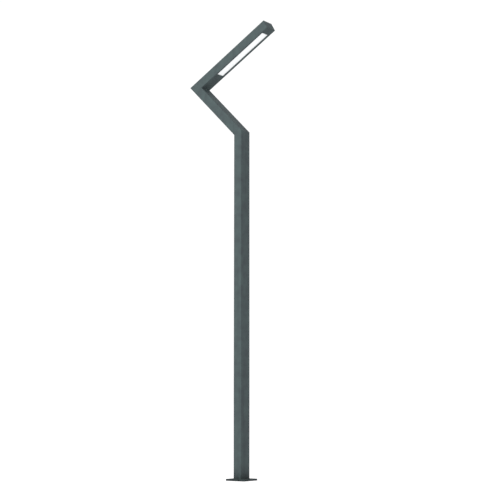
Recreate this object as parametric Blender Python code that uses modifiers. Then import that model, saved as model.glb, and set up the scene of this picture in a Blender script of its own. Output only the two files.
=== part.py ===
"""Street lamp post: a zigzag post of 120 x 80 mm steel tube with a light panel in its upper arm.

Frame: metres, +Z up, origin on the pole's axis at the underside of the base plate. The post bends in the
XZ plane: the lower arm leans towards -X and the upper arm comes back towards +X, with its light panel
facing down. The access door is in the pole's -X face.
"""

from math import atan2, cos, pi, radians, sin

import bmesh
import bpy
from mathutils import Matrix, Vector

# Driving dimensions
GAP = 0.0003  # clearance between pieces that touch
SECTION_X = 0.080  # tube's depth in the plane of the bends
SECTION_Y = 0.120  # tube's width across the light panel
WALL = 0.004
CORNER_R = 0.003
BORE_CORNER_R = 0.001
BEND_Z = 2.98  # tube axes meet here at the top of the pole
LOWER_LENGTH = 0.67  # along the axis, bend to elbow
LOWER_ANGLE = radians(45)  # above the horizontal
UPPER_LENGTH = 0.89  # along the axis, elbow to the end cap's face
UPPER_ANGLE = radians(30)
PLATE_SIDE = 0.190
PLATE_T = 0.015
PLATE_CORNER_R = 0.003
ANCHOR_SPACING = 0.140
ANCHOR_HOLE_R = 0.009
CABLE_HOLE_R = 0.030

# Light panel, along the upper arm from the elbow's axis point, and its depths from the arm's underside
PANEL_START = 0.245
PANEL_END = 0.818
PANEL_W = 0.088
SURROUND_T = 0.002
SURROUND_DEPTH = 0.0093
FLANGE_W = 0.008
GASKET_T = 0.0015
DIFFUSER_T = 0.003
SINK_BASE = 0.0260
SINK_TOP = 0.042
SINK_BASE_T = 0.004
SINK_WALL_T = 0.0025
FIN_GAP = 0.009
FIN_PITCH = 0.012
BOARD_LENGTH = 0.280
BOARD_W = 0.060
BOARD_T = 0.0016
CAP_T = 0.004
CAP_PLUG = 0.020
CAP_PLUG_CORNER_R = 0.0017
CAP_PLUG_WALL = 0.003
CAP_FINGER_W = 0.012  # each finger holds down one corner of the LED unit's end
CAP_FINGER_H = 0.020
CAP_SCREW_Y = 0.035
CAP_SCREW_HEAD_R = 0.0050
CAP_SCREW_HEAD_H = 0.0028
CAP_SCREW_R = 0.0025
CAP_SCREW_LENGTH = 0.012
CAP_SCREW_SINK_R = 0.0060
CAP_SCREW_SINK_H = 0.0034
BOARD_SCREW_R = 0.0015
SPRING_T = 0.0008
SPRING_W = 0.030
SPRING_HALF_LENGTH = 0.055
UNIT_GLAND_Z = 0.024  # above the arm's underside
SMALL_GLAND_HEX_R = 0.008
SMALL_GLAND_NOSE_R = 0.0055
GLAND_LENGTH = 0.016

# Access door, in the pole's -X wall
DOOR_Z = 0.565
DOOR_OPENING_H = 0.350
DOOR_OPENING_W = 0.086
DOOR_CLEARANCE = 0.0015
DOOR_T = 0.0025
DOOR_CORNER_R = 0.008
FRAME_T = 0.003
FRAME_LEDGE = 0.006
HINGE_X = -0.045
HINGE_Y = 0.046
HINGE_H = 0.050
HINGE_SPACING = 0.250
HINGE_PLATE_T = 0.002
HINGE_POLE_Y = 0.054  # far edge of the leaf on the pole
HINGE_DOOR_Y = 0.028  # far edge of the leaf on the door
KNUCKLE_END = 0.015  # length of each of the pole leaf's two knuckles
KNUCKLE_R = 0.0045
PIN_R = 0.002
PIN_HEAD_R = 0.0032
PLAY = 0.0004  # clearance between pieces that slide or turn on each other
LOCK_Y = -0.022
LOCK_FLANGE_R = 0.0125
LOCK_FLANGE_T = 0.002
LOCK_BARREL_R = 0.0088
LOCK_BARREL_END = 0.0073  # behind the pole's rear face
LOCK_NUT_T = 0.003
PLUG_R = 0.0055
KEY_R = 0.0042
CAM_REACH = 0.022
CAM_HALF_W = 0.007
CAM_T = 0.002
CAM_SCREW_R = 0.0020
CAM_SCREW_LENGTH = 0.0050

# Gear plate and what it carries, behind the door
GEAR_PLATE_X = 0.027
GEAR_PLATE_T = 0.002
GEAR_PLATE_W = 0.072
GEAR_PLATE_H = 0.330
STUD_OFFSET = 0.1590  # from the door's middle to each gear plate stud
STUD_R = 0.003
STUD_FRONT = 0.0215
STUD_NUT_R = 0.0056
STUD_NUT_T = 0.0036
SPACER_R = 0.0055
LUG_T = 0.003
GEAR_SCREW_R = 0.0019
GEAR_SCREW_LENGTH = 0.0075
CUTOUT_LOW = 0.416
CUTOUT_HIGH = 0.532
CUTOUT_W = 0.044
CUTOUT_FRONT = -0.0153
CARRIER_W = 0.030
CARRIER_H = 0.050
CARRIER_DEPTH = 0.025
CARRIER_BODY = 0.022
GRIP_OUT = 0.005
GRIP_W = 0.008
GRIP_H = 0.034
FUSE_R = 0.0050
FUSE_LENGTH = 0.038
SUPPLY_GLAND_HEX_R = 0.0105
SUPPLY_GLAND_NOSE_R = 0.0085
SUPPLY_GLAND_HEX_H = 0.006
DRIVER_LOW = 0.593
DRIVER_HIGH = 0.715
DRIVER_W = 0.053
DRIVER_D = 0.032
DRIVER_END = 0.009  # length of the fixing lug at each end
DRIVER_LUG_Y = 0.016
DRIVER_GLAND_HEX_H = 0.005
CABLE_R = 0.0035
EARTH_LEAD_R = 0.0018
EARTH_Z = 0.460
EARTH_X = -0.010
EARTH_STUD_R = 0.004
EARTH_STUD_START = 0.0375
EARTH_WASHER_R = 0.008
EARTH_WASHER_T = 0.0016
EARTH_RING_R = 0.007
EARTH_RING_T = 0.001
EARTH_BARREL_R = 0.0024
EARTH_BARREL_LENGTH = 0.012
EARTH_NUT_R = 0.0073
EARTH_NUT_T = 0.0064

# Places that follow from the dimensions
BEND = Vector((0, 0, BEND_Z))
LOWER_DIR = Vector((-cos(LOWER_ANGLE), 0, sin(LOWER_ANGLE)))
ELBOW = BEND + LOWER_DIR * LOWER_LENGTH
UPPER_DIR = Vector((cos(UPPER_ANGLE), 0, sin(UPPER_ANGLE)))
UPPER_UP = Vector((-sin(UPPER_ANGLE), 0, cos(UPPER_ANGLE)))
UNDER = -SECTION_X / 2  # local height of the upper arm's underside
REAR = -SECTION_X / 2  # the pole's rear face, which holds the door
PANEL_MIDDLE = (PANEL_START + PANEL_END) / 2
UNIT_HALF = (PANEL_END - PANEL_START) / 2 + FLANGE_W  # half the length of the LED unit
UNIT_HALF_W = PANEL_W / 2 + FLANGE_W
BLANK = 0.15  # spare length on a tube before its mitre is cut
MITRE_BLOCK = 0.6

# Collections and materials

for leftover in list(bpy.data.objects):
    bpy.data.objects.remove(leftover)

parts = bpy.data.collections.new("street_lamp_post")
cutters = bpy.data.collections.new("cutters")
bpy.context.scene.collection.children.link(parts)
bpy.context.scene.collection.children.link(cutters)


def finish(name, colour, roughness, metallic=0.0):
    """A Principled material."""
    mat = bpy.data.materials.new(name)
    mat.use_nodes = True
    shader = mat.node_tree.nodes["Principled BSDF"]
    shader.inputs["Base Color"].default_value = (*colour, 1)
    shader.inputs["Roughness"].default_value = roughness
    shader.inputs["Metallic"].default_value = metallic
    mat.diffuse_color = (*colour, 1)
    return mat


POST_PAINT = finish("post_paint", (0.125, 0.165, 0.165), 0.55)
OPAL = finish("opal", (0.92, 0.95, 0.95), 0.35)
GASKET = finish("gasket_rubber", (0.03, 0.03, 0.03), 0.8)
ALUMINIUM = finish("aluminium", (0.75, 0.76, 0.77), 0.4, 1.0)
BOARD = finish("board_white", (0.85, 0.86, 0.84), 0.5)
ZINC = finish("zinc_steel", (0.62, 0.63, 0.64), 0.35, 1.0)
SPRING_STEEL = finish("spring_steel", (0.45, 0.46, 0.48), 0.3, 1.0)
BRASS = finish("brass", (0.72, 0.53, 0.22), 0.35, 1.0)
DARK_PLASTIC = finish("dark_plastic", (0.05, 0.055, 0.06), 0.5)
GREY_PLASTIC = finish("grey_plastic", (0.45, 0.47, 0.48), 0.5)
DRIVER_WHITE = finish("driver_white", (0.8, 0.81, 0.8), 0.45)
FUSE_WHITE = finish("fuse_ceramic", (0.9, 0.88, 0.82), 0.4)
CABLE_BLACK = finish("cable_black", (0.025, 0.025, 0.027), 0.6)
EARTH_GREEN = finish("earth_green", (0.25, 0.5, 0.08), 0.55)


# Making and cutting shapes


def place(name, bm, parent=None, location=(0, 0, 0), rotation=(0, 0, 0)):
    """An object from a bmesh. Under an unrotated pivot the mesh is given in world places."""
    if parent is not None and parent.name.startswith("pivot_"):
        bmesh.ops.translate(bm, vec=-parent.location, verts=bm.verts)
    mesh = bpy.data.meshes.new(name)
    bm.to_mesh(mesh)
    bm.free()
    obj = bpy.data.objects.new(name, mesh)
    obj.parent = parent
    obj.location = location
    obj.rotation_euler = rotation
    return obj


def part(name, bm, mat, parent=None):
    """A sub-part of the post."""
    obj = place(name, bm, parent)
    obj.data.materials.append(mat)
    parts.objects.link(obj)
    return obj


def guide(name, bm, parent=None, location=(0, 0, 0), rotation=(0, 0, 0)):
    """A shape that only cuts or joins."""
    obj = place("guide_" + name, bm, parent, location, rotation)
    obj.hide_render = True
    obj.display_type = "WIRE"
    cutters.objects.link(obj)
    return obj


def combine(target, other, operation):
    """A Boolean between a sub-part and a guide."""
    boolean = target.modifiers.new(other.name, "BOOLEAN")
    boolean.operation = operation
    boolean.object = other
    return target


def cut(target, *others):
    for other in others:
        combine(target, other, "DIFFERENCE")
    return target


def join(target, *others):
    for other in others:
        combine(target, other, "UNION")
    return target


def block(low, high, round_axis=None, radius=0.0, segments=3):
    """A block between two corners, with the four edges along round_axis rounded."""
    low = Vector(low)
    high = Vector(high)
    bm = bmesh.new()
    bmesh.ops.create_cube(bm, size=1.0)
    bmesh.ops.scale(bm, vec=high - low, verts=bm.verts)
    bmesh.ops.translate(bm, vec=(low + high) / 2, verts=bm.verts)
    if round_axis is not None:
        edges = [
            edge
            for edge in bm.edges
            if abs((edge.verts[0].co - edge.verts[1].co)[round_axis]) > 1e-6
        ]
        bmesh.ops.bevel(
            bm, geom=edges, offset=radius, segments=segments, profile=0.5, affect="EDGES"
        )
    return bm


def around(middle, size):
    """The low and high corners of a block of this size."""
    middle = Vector(middle)
    half = Vector(size) / 2
    return middle - half, middle + half


def rod(middle, axis, radius, length, sides=24):
    """A cylinder along X, Y or Z (axis 0, 1 or 2)."""
    turn = (Matrix.Rotation(pi / 2, 4, "Y"), Matrix.Rotation(-pi / 2, 4, "X"), Matrix.Identity(4))
    bm = bmesh.new()
    bmesh.ops.create_cone(
        bm,
        cap_ends=True,
        segments=sides,
        radius1=radius,
        radius2=radius,
        depth=length,
        matrix=Matrix.Translation(middle) @ turn[axis],
    )
    return bm


def rod_between(start, end, radius, sides=24):
    """A cylinder between two points that differ along one axis only."""
    start = Vector(start)
    end = Vector(end)
    axis = max(range(3), key=lambda i: abs(end[i] - start[i]))
    return rod((start + end) / 2, axis, radius, (end - start).length, sides)


def empty(name, location, rotation=(0, 0, 0)):
    obj = bpy.data.objects.new(name, None)
    obj.location = location
    obj.rotation_euler = rotation
    obj.empty_display_size = 0.05
    parts.objects.link(obj)
    return obj


def screw(name, mat, head_at, direction, head_r, head_h, shank_r, length, parent=None, sunk=False):
    """A turned screw whose head meets the work at head_at, with its shank along direction."""
    if sunk:
        head = [(0, 0), (head_r, 0), (shank_r, -head_h)]
    else:
        head = [(0, head_h), (head_r, head_h), (head_r, 0), (shank_r, 0)]
    outline = [(r, 0, z) for r, z in (*head, (shank_r, -length), (0, -length))]
    mesh = bpy.data.meshes.new(name)
    mesh.from_pydata(outline, [(i, i + 1) for i in range(len(outline) - 1)], [])
    obj = bpy.data.objects.new(name, mesh)
    turned = obj.modifiers.new("turned", "SCREW")
    turned.steps = 16
    turned.render_steps = 16
    turned.use_merge_vertices = True
    turned.merge_threshold = 0.0001
    obj.rotation_euler = Vector(direction).to_track_quat("-Z", "Y").to_euler()
    obj.parent = parent
    offset = parent.location if parent is not None and parent.name.startswith("pivot_") else Vector()
    obj.location = Vector(head_at) - offset
    obj.data.materials.append(mat)
    parts.objects.link(obj)
    return obj


def nut(name, mat, middle, axis, corner_r, height, bore_r, parent=None):
    """A hexagon nut."""
    obj = part(name, rod(middle, axis, corner_r, height, sides=6), mat, parent)
    return cut(obj, guide(name + "_bore", rod(middle, axis, bore_r, height * 3, sides=16), parent))


def washer(name, mat, middle, axis, outer_r, height, bore_r, parent=None):
    obj = part(name, rod(middle, axis, outer_r, height), mat, parent)
    return cut(obj, guide(name + "_bore", rod(middle, axis, bore_r, height * 3), parent))


def smooth_points(route, spacing):
    """Points about this far apart on a smooth curve through the route's points."""
    ends = [2 * route[0] - route[1], *route, 2 * route[-1] - route[-2]]
    points = []
    for i in range(1, len(ends) - 2):
        before, start, end, after = ends[i - 1 : i + 3]
        count = max(1, round((end - start).length / spacing))
        for step in range(count):
            t = step / count
            points.append(
                0.5
                * (
                    2 * start
                    + (end - before) * t
                    + (2 * before - 5 * start + 4 * end - after) * t**2
                    + (3 * start - before - 3 * end + after) * t**3
                )
            )
    points.append(route[-1])
    return points


def lead(name, mat, route, radius, spacing):
    """A cable as a tube along its route."""
    points = smooth_points([Vector(p) for p in route], spacing)
    curve = bpy.data.curves.new(name, "CURVE")
    curve.dimensions = "3D"
    curve.bevel_depth = radius
    curve.bevel_resolution = 2
    curve.use_fill_caps = True
    spline = curve.splines.new("POLY")
    spline.points.add(len(points) - 1)
    for target, place_at in zip(spline.points, points):
        target.co = (*place_at, 1)
    obj = bpy.data.objects.new(name, curve)
    curve.materials.append(mat)
    parts.objects.link(obj)
    return obj


def mitre(name, corner, direction, side):
    """A guide that fills one side of the plane through a corner of the post's axis."""
    half = MITRE_BLOCK / 2
    return guide(
        name,
        block((-half, -half, -half), (half, half, half)),
        location=corner + direction * side * (half - GAP / 2),
        rotation=(0, atan2(direction.x, direction.z), 0),
    )


# Post: base plate, pole and arms


def base_plate():
    half = PLATE_SIDE / 2
    plate = part(
        "base_plate", block((-half, -half, 0), (half, half, PLATE_T), 2, PLATE_CORNER_R), POST_PAINT
    )
    cut(plate, guide("cable_hole", rod((0, 0, PLATE_T / 2), 2, CABLE_HOLE_R, PLATE_T * 3, sides=32)))
    for i, (x, y) in enumerate([(-1, -1), (-1, 1), (1, -1), (1, 1)]):
        at = (x * ANCHOR_SPACING / 2, y * ANCHOR_SPACING / 2, PLATE_T / 2)
        cut(plate, guide(f"anchor_hole_{i}", rod(at, 2, ANCHOR_HOLE_R, PLATE_T * 3)))


def tube(name, axis, start, end, parent=None):
    """Rectangular hollow section along Z (axis 2) or along X (axis 0), from start to end."""
    across = (SECTION_Y / 2, SECTION_X / 2)
    inner = (across[0] - WALL, across[1] - WALL)

    def corners(halves, first, last):
        if axis == 2:
            return (-halves[1], -halves[0], first), (halves[1], halves[0], last)
        return (first, -halves[0], -halves[1]), (last, halves[0], halves[1])

    body = part(name, block(*corners(across, start, end), axis, CORNER_R), POST_PAINT, parent)
    bore = block(*corners(inner, start - WALL, end + WALL), axis, BORE_CORNER_R, segments=2)
    return cut(body, guide(name + "_bore", bore, parent))


def pole_shaft():
    pole = tube("pole_shaft", 2, PLATE_T + GAP, BEND_Z + BLANK)
    cut(pole, mitre("pole_mitre", BEND, (Vector((0, 0, 1)) + LOWER_DIR).normalized(), 1))
    opening = around((REAR, 0, DOOR_Z), (WALL * 4, DOOR_OPENING_W, DOOR_OPENING_H))
    cut(pole, guide("door_opening", block(*opening, 0, DOOR_CORNER_R)))


def lower_arm():
    axis = empty("lower_arm_axis", BEND, (0, -(pi - LOWER_ANGLE), 0))
    arm = tube("lower_arm", 0, -BLANK, LOWER_LENGTH + BLANK, axis)
    cut(arm, mitre("bend_mitre", BEND, (Vector((0, 0, 1)) + LOWER_DIR).normalized(), -1))
    cut(arm, mitre("elbow_mitre_low", ELBOW, (LOWER_DIR + UPPER_DIR).normalized(), 1))


def upper_arm(axis):
    arm = tube("upper_arm", 0, -BLANK, UPPER_LENGTH - CAP_T - GAP, axis)
    cut(arm, mitre("elbow_mitre_high", ELBOW, (LOWER_DIR + UPPER_DIR).normalized(), -1))
    margin = 2 * (SURROUND_T + GAP)
    window = around(
        (PANEL_MIDDLE, 0, UNDER + WALL / 2),
        (PANEL_END - PANEL_START + margin, PANEL_W + margin, WALL * 3),
    )
    cut(arm, guide("panel_window", block(*window), axis))
    cut(arm, *[cap_screw_hole("arm", side, axis) for side in (-1, 1)])


# End cap


def cap_screw_hole(owner, side, axis):
    """Clearance for a countersunk screw through the arm's top wall and the cap's plug."""
    bm = bmesh.new()
    at = Vector((UPPER_LENGTH - CAP_T - CAP_PLUG / 2, side * CAP_SCREW_Y, SECTION_X / 2))
    bmesh.ops.create_cone(
        bm,
        cap_ends=True,
        segments=16,
        radius1=CAP_SCREW_R + GAP,
        radius2=CAP_SCREW_SINK_R,
        depth=CAP_SCREW_SINK_H,
        matrix=Matrix.Translation(at - Vector((0, 0, CAP_SCREW_SINK_H / 2 - GAP))),
    )
    sink = guide(f"{owner}_cap_sink_{side}", bm, axis)
    shank = rod(at - Vector((0, 0, WALL * 2)), 2, CAP_SCREW_R + GAP, CAP_PLUG, sides=16)
    return join(sink, guide(f"{owner}_cap_shank_{side}", shank, axis))


def end_cap(axis):
    half_y = SECTION_Y / 2
    half_z = SECTION_X / 2
    plug_y = half_y - WALL - GAP
    plug_z = half_z - WALL - GAP
    back = UPPER_LENGTH - CAP_T
    cap = part(
        "end_cap",
        block((back, -half_y, -half_z), (UPPER_LENGTH, half_y, half_z), 0, CORNER_R),
        POST_PAINT,
        axis,
    )
    plug_low = (back - CAP_PLUG, -plug_y, -plug_z)
    plug = block(plug_low, (back + WALL / 2, plug_y, plug_z), 0, CAP_PLUG_CORNER_R, 2)
    inner_y = plug_y - CAP_PLUG_WALL
    inner_z = plug_z - CAP_PLUG_WALL
    hollow = block((back - CAP_PLUG * 2, -inner_y, -inner_z), (back, inner_y, inner_z))
    plug_ring = cut(guide("cap_plug", plug, axis), guide("cap_hollow", hollow, axis))
    join(cap, plug_ring)
    unit_end = PANEL_MIDDLE + UNIT_HALF + GAP
    for side in (-1, 1):
        finger_at = (0, side * (inner_y - CAP_FINGER_W / 4), UNDER + SINK_BASE)
        low, high = around(finger_at, (0, CAP_FINGER_W, CAP_FINGER_H))
        low.x = unit_end
        high.x = back + WALL / 2
        join(cap, guide(f"cap_finger_{side}", block(low, high), axis))
    cut(cap, *[cap_screw_hole("cap", side, axis) for side in (-1, 1)])
    for side, name in ((-1, "near"), (1, "far")):
        screw(
            f"end_cap_screw_{name}",
            ZINC,
            (back - CAP_PLUG / 2, side * CAP_SCREW_Y, half_z - 0.0002),
            (0, 0, -1),
            CAP_SCREW_HEAD_R,
            CAP_SCREW_HEAD_H,
            CAP_SCREW_R,
            CAP_SCREW_LENGTH,
            axis,
            sunk=True,
        )


# LED unit, behind the window in the upper arm


def ring(name, mat, outer, inner, low_z, high_z, axis):
    """A flat rectangular ring around the panel; outer and inner are half length and half width."""
    bm = block(
        (PANEL_MIDDLE - outer[0], -outer[1], low_z), (PANEL_MIDDLE + outer[0], outer[1], high_z)
    )
    hole = block(
        (PANEL_MIDDLE - inner[0], -inner[1], low_z - WALL),
        (PANEL_MIDDLE + inner[0], inner[1], high_z + WALL),
    )
    return cut(part(name, bm, mat, axis), guide(name + "_hole", hole, axis))


def panel_surround(axis):
    """Wall of the recess, with a flange around its top that carries the LED unit."""
    half = (PANEL_END - PANEL_START) / 2
    half_w = PANEL_W / 2
    top = UNDER + SURROUND_DEPTH
    body = part(
        "panel_surround",
        block(
            (PANEL_MIDDLE - half - SURROUND_T, -half_w - SURROUND_T, UNDER + GAP),
            (PANEL_MIDDLE + half + SURROUND_T, half_w + SURROUND_T, top - SURROUND_T / 2),
        ),
        POST_PAINT,
        axis,
    )
    flange = block(
        (PANEL_MIDDLE - UNIT_HALF, -UNIT_HALF_W, top - SURROUND_T),
        (PANEL_MIDDLE + UNIT_HALF, UNIT_HALF_W, top),
    )
    hole = block(
        (PANEL_MIDDLE - half, -half_w, UNDER - WALL),
        (PANEL_MIDDLE + half, half_w, top + WALL),
    )
    join(body, guide("surround_flange", flange, axis))
    cut(body, guide("surround_hole", hole, axis))


def board_screw_places():
    """Where the LED boards are screwed down, two screws to a board."""
    for board, name in ((-1, "low"), (1, "high")):
        middle = PANEL_MIDDLE + board * (BOARD_LENGTH + 0.004) / 2
        for end, end_name in ((-1, "a"), (1, "b")):
            yield name + "_" + end_name, middle + end * (BOARD_LENGTH / 2 - 0.008)


def led_unit(axis):
    half = (PANEL_END - PANEL_START) / 2
    gasket_low = UNDER + SURROUND_DEPTH + GAP
    ring(
        "diffuser_gasket",
        GASKET,
        (UNIT_HALF, UNIT_HALF_W),
        (half + 0.001, PANEL_W / 2 + 0.001),
        gasket_low,
        gasket_low + GASKET_T,
        axis,
    )
    diffuser_low = gasket_low + GASKET_T + GAP
    diffuser_high = diffuser_low + DIFFUSER_T
    part(
        "diffuser",
        block(
            (PANEL_MIDDLE - UNIT_HALF, -UNIT_HALF_W, diffuser_low),
            (PANEL_MIDDLE + UNIT_HALF, UNIT_HALF_W, diffuser_high),
        ),
        OPAL,
        axis,
    )
    base = UNDER + SINK_BASE
    sink = part(
        "heat_sink",
        block(
            (PANEL_MIDDLE - UNIT_HALF, -UNIT_HALF_W, diffuser_high + GAP),
            (PANEL_MIDDLE + UNIT_HALF, UNIT_HALF_W, UNDER + SINK_TOP),
        ),
        ALUMINIUM,
        axis,
    )
    inner = (UNIT_HALF - SINK_WALL_T, UNIT_HALF_W - SINK_WALL_T)
    pocket = block(
        (PANEL_MIDDLE - inner[0], -inner[1], UNDER), (PANEL_MIDDLE + inner[0], inner[1], base)
    )
    cut(sink, guide("sink_pocket", pocket, axis))
    fin_low = base + SINK_BASE_T
    for i in range(-3, 5):
        middle = (i - 0.5) * FIN_PITCH
        slot = block(
            (PANEL_MIDDLE - 0.4, middle - FIN_GAP / 2, fin_low),
            (PANEL_MIDDLE + 0.4, middle + FIN_GAP / 2, UNDER + SINK_TOP + WALL),
        )
        cut(sink, guide(f"fin_slot_{i + 3}", slot, axis))

    board_high = base - GAP
    for side, name in ((-1, "low"), (1, "high")):
        middle = PANEL_MIDDLE + side * (BOARD_LENGTH + 0.004) / 2
        board = part(
            f"led_board_{name}",
            block(
                *around(
                    (middle, 0, board_high - BOARD_T / 2), (BOARD_LENGTH, BOARD_W, BOARD_T)
                )
            ),
            BOARD,
            axis,
        )
        for hole_name, along in board_screw_places():
            if hole_name.startswith(name):
                drill = rod((along, 0, board_high), 2, BOARD_SCREW_R + PLAY, 0.006, sides=16)
                hole = guide("board_hole_" + hole_name, drill, axis)
                cut(board, hole)
                cut(sink, hole)
    for hole_name, along in board_screw_places():
        screw(
            "board_screw_" + hole_name,
            ZINC,
            (along, 0, board_high - BOARD_T - GAP),
            (0, 0, 1),
            BOARD_SCREW_R * 2,
            0.0018,
            BOARD_SCREW_R,
            0.0043,
            axis,
        )


def leaf_spring(name, middle, axis):
    """An arched steel strip that presses the LED unit down from the arm's top wall."""
    foot = UNDER + SINK_TOP + GAP + SPRING_T
    crown = SECTION_X / 2 - WALL - GAP
    steps = 12
    bm = bmesh.new()
    rows = []
    for i in range(steps + 1):
        t = i / steps
        along = middle + SPRING_HALF_LENGTH * (2 * t - 1)
        height = foot + (crown - foot) * sin(pi * t) ** 2
        rows.append([bm.verts.new((along, side * SPRING_W / 2, height)) for side in (-1, 1)])
    for (a, b), (d, c) in zip(rows, rows[1:]):
        bm.faces.new((a, d, c, b))
    obj = part(name, bm, SPRING_STEEL, axis)
    solid = obj.modifiers.new("strip", "SOLIDIFY")
    solid.thickness = SPRING_T
    solid.offset = -1.0


def unit_gland(axis):
    """Cable gland on the LED unit's lower end."""
    end = Vector((PANEL_MIDDLE - UNIT_HALF - GAP, 0, UNDER + UNIT_GLAND_Z))
    back = Vector((-1, 0, 0))
    hexagon = rod_between(end, end + back * 0.004, SMALL_GLAND_HEX_R, 6)
    gland = part("unit_gland", hexagon, DARK_PLASTIC, axis)
    nose = rod_between(end + back * 0.002, end + back * GLAND_LENGTH, SMALL_GLAND_NOSE_R, 16)
    join(gland, guide("unit_gland_nose", nose, axis))
    return ELBOW + UPPER_DIR * (end.x - GLAND_LENGTH - GAP) + UPPER_UP * end.z


# Access door and its hinges


def rear_plate(size_y, size_z, low_x, high_x, radius):
    """A plate parallel to the pole's rear face, in the middle of the door."""
    low, high = around((0, 0, DOOR_Z), (0, size_y, size_z))
    low.x = low_x
    high.x = high_x
    return block(low, high, 0, radius)


def door_frame():
    outer_x = REAR + WALL + GAP
    body = rear_plate(0.108, DOOR_OPENING_H + 0.022, outer_x, outer_x + FRAME_T, 0.004)
    hole = rear_plate(
        DOOR_OPENING_W - 2 * FRAME_LEDGE,
        DOOR_OPENING_H - 2 * FRAME_LEDGE,
        outer_x - WALL,
        outer_x + WALL * 2,
        DOOR_CORNER_R / 2,
    )
    frame = part("door_frame", body, POST_PAINT)
    cut(frame, guide("door_frame_hole", hole))
    high_x = REAR + WALL
    low_x = REAR + DOOR_T + GAP
    outer = 0.002  # the seal's outer edge and its hole, each less than the opening by this
    inner = 0.008
    seal = rear_plate(
        DOOR_OPENING_W - outer, DOOR_OPENING_H - outer, low_x, high_x, DOOR_CORNER_R - outer / 2
    )
    seal_hole = rear_plate(
        DOOR_OPENING_W - inner, DOOR_OPENING_H - inner, low_x - WALL, high_x + WALL, DOOR_CORNER_R / 2
    )
    cut(part("door_gasket", seal, GASKET), guide("door_gasket_hole", seal_hole))


def access_door(pivot):
    body = rear_plate(
        DOOR_OPENING_W - 2 * DOOR_CLEARANCE,
        DOOR_OPENING_H - 2 * DOOR_CLEARANCE,
        REAR,
        REAR + DOOR_T,
        DOOR_CORNER_R - DOOR_CLEARANCE,
    )
    door = part("access_door", body, POST_PAINT, pivot)
    lock_hole = rod((REAR, LOCK_Y, DOOR_Z), 0, LOCK_BARREL_R + GAP, WALL * 5)
    cut(door, guide("lock_hole", lock_hole, pivot))


def hinge(name, middle_z, pivot):
    """Knuckle hinge: one leaf on the pole, one on the door, and a pin."""
    plate_x = (REAR - GAP - HINGE_PLATE_T, REAR - GAP)
    low = middle_z - HINGE_H / 2
    high = middle_z + HINGE_H / 2
    inner_low = low + KNUCKLE_END
    inner_high = high - KNUCKLE_END
    clear = KNUCKLE_R + PLAY
    axis_at = Vector((HINGE_X, HINGE_Y, 0))

    def knuckle(start, end, radius=KNUCKLE_R):
        return rod_between(axis_at + Vector((0, 0, start)), axis_at + Vector((0, 0, end)), radius, 20)

    pole_leaf = part(
        f"hinge_leaf_pole_{name}",
        block((plate_x[0], HINGE_Y, low), (plate_x[1], HINGE_POLE_Y, high), 0, 0.001, 1),
        ZINC,
    )
    join(pole_leaf, guide(f"pole_knuckle_{name}", knuckle(low, high)))
    notch = block(
        (HINGE_X - clear, HINGE_Y - clear, inner_low - PLAY),
        (REAR, HINGE_Y + clear, inner_high + PLAY),
    )
    cut(pole_leaf, guide(f"pole_leaf_notch_{name}", notch))

    door_leaf = part(
        f"hinge_leaf_door_{name}",
        block((plate_x[0], HINGE_DOOR_Y, low), (plate_x[1], HINGE_Y, high), 0, 0.001, 1),
        ZINC,
        pivot,
    )
    join(door_leaf, guide(f"door_knuckle_{name}", knuckle(inner_low, inner_high), pivot))
    for start, end, end_name in ((low - PLAY, inner_low, "low"), (inner_high, high + PLAY, "high")):
        notch = block(
            (HINGE_X - clear, HINGE_Y - clear, start), (REAR, HINGE_Y + clear, end)
        )
        cut(door_leaf, guide(f"door_leaf_notch_{name}_{end_name}", notch, pivot))

    bore = PIN_R + GAP
    cut(pole_leaf, guide(f"pole_leaf_bore_{name}", knuckle(low - WALL, high + WALL, bore)))
    cut(door_leaf, guide(f"door_leaf_bore_{name}", knuckle(low - WALL, high + WALL, bore), pivot))
    pin = part(f"hinge_pin_{name}", knuckle(low - 0.001, high + 0.001, PIN_R), ZINC)
    head = knuckle(high + GAP, high + 0.002, PIN_HEAD_R)
    join(pin, guide(f"pin_head_{name}", head))


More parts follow.
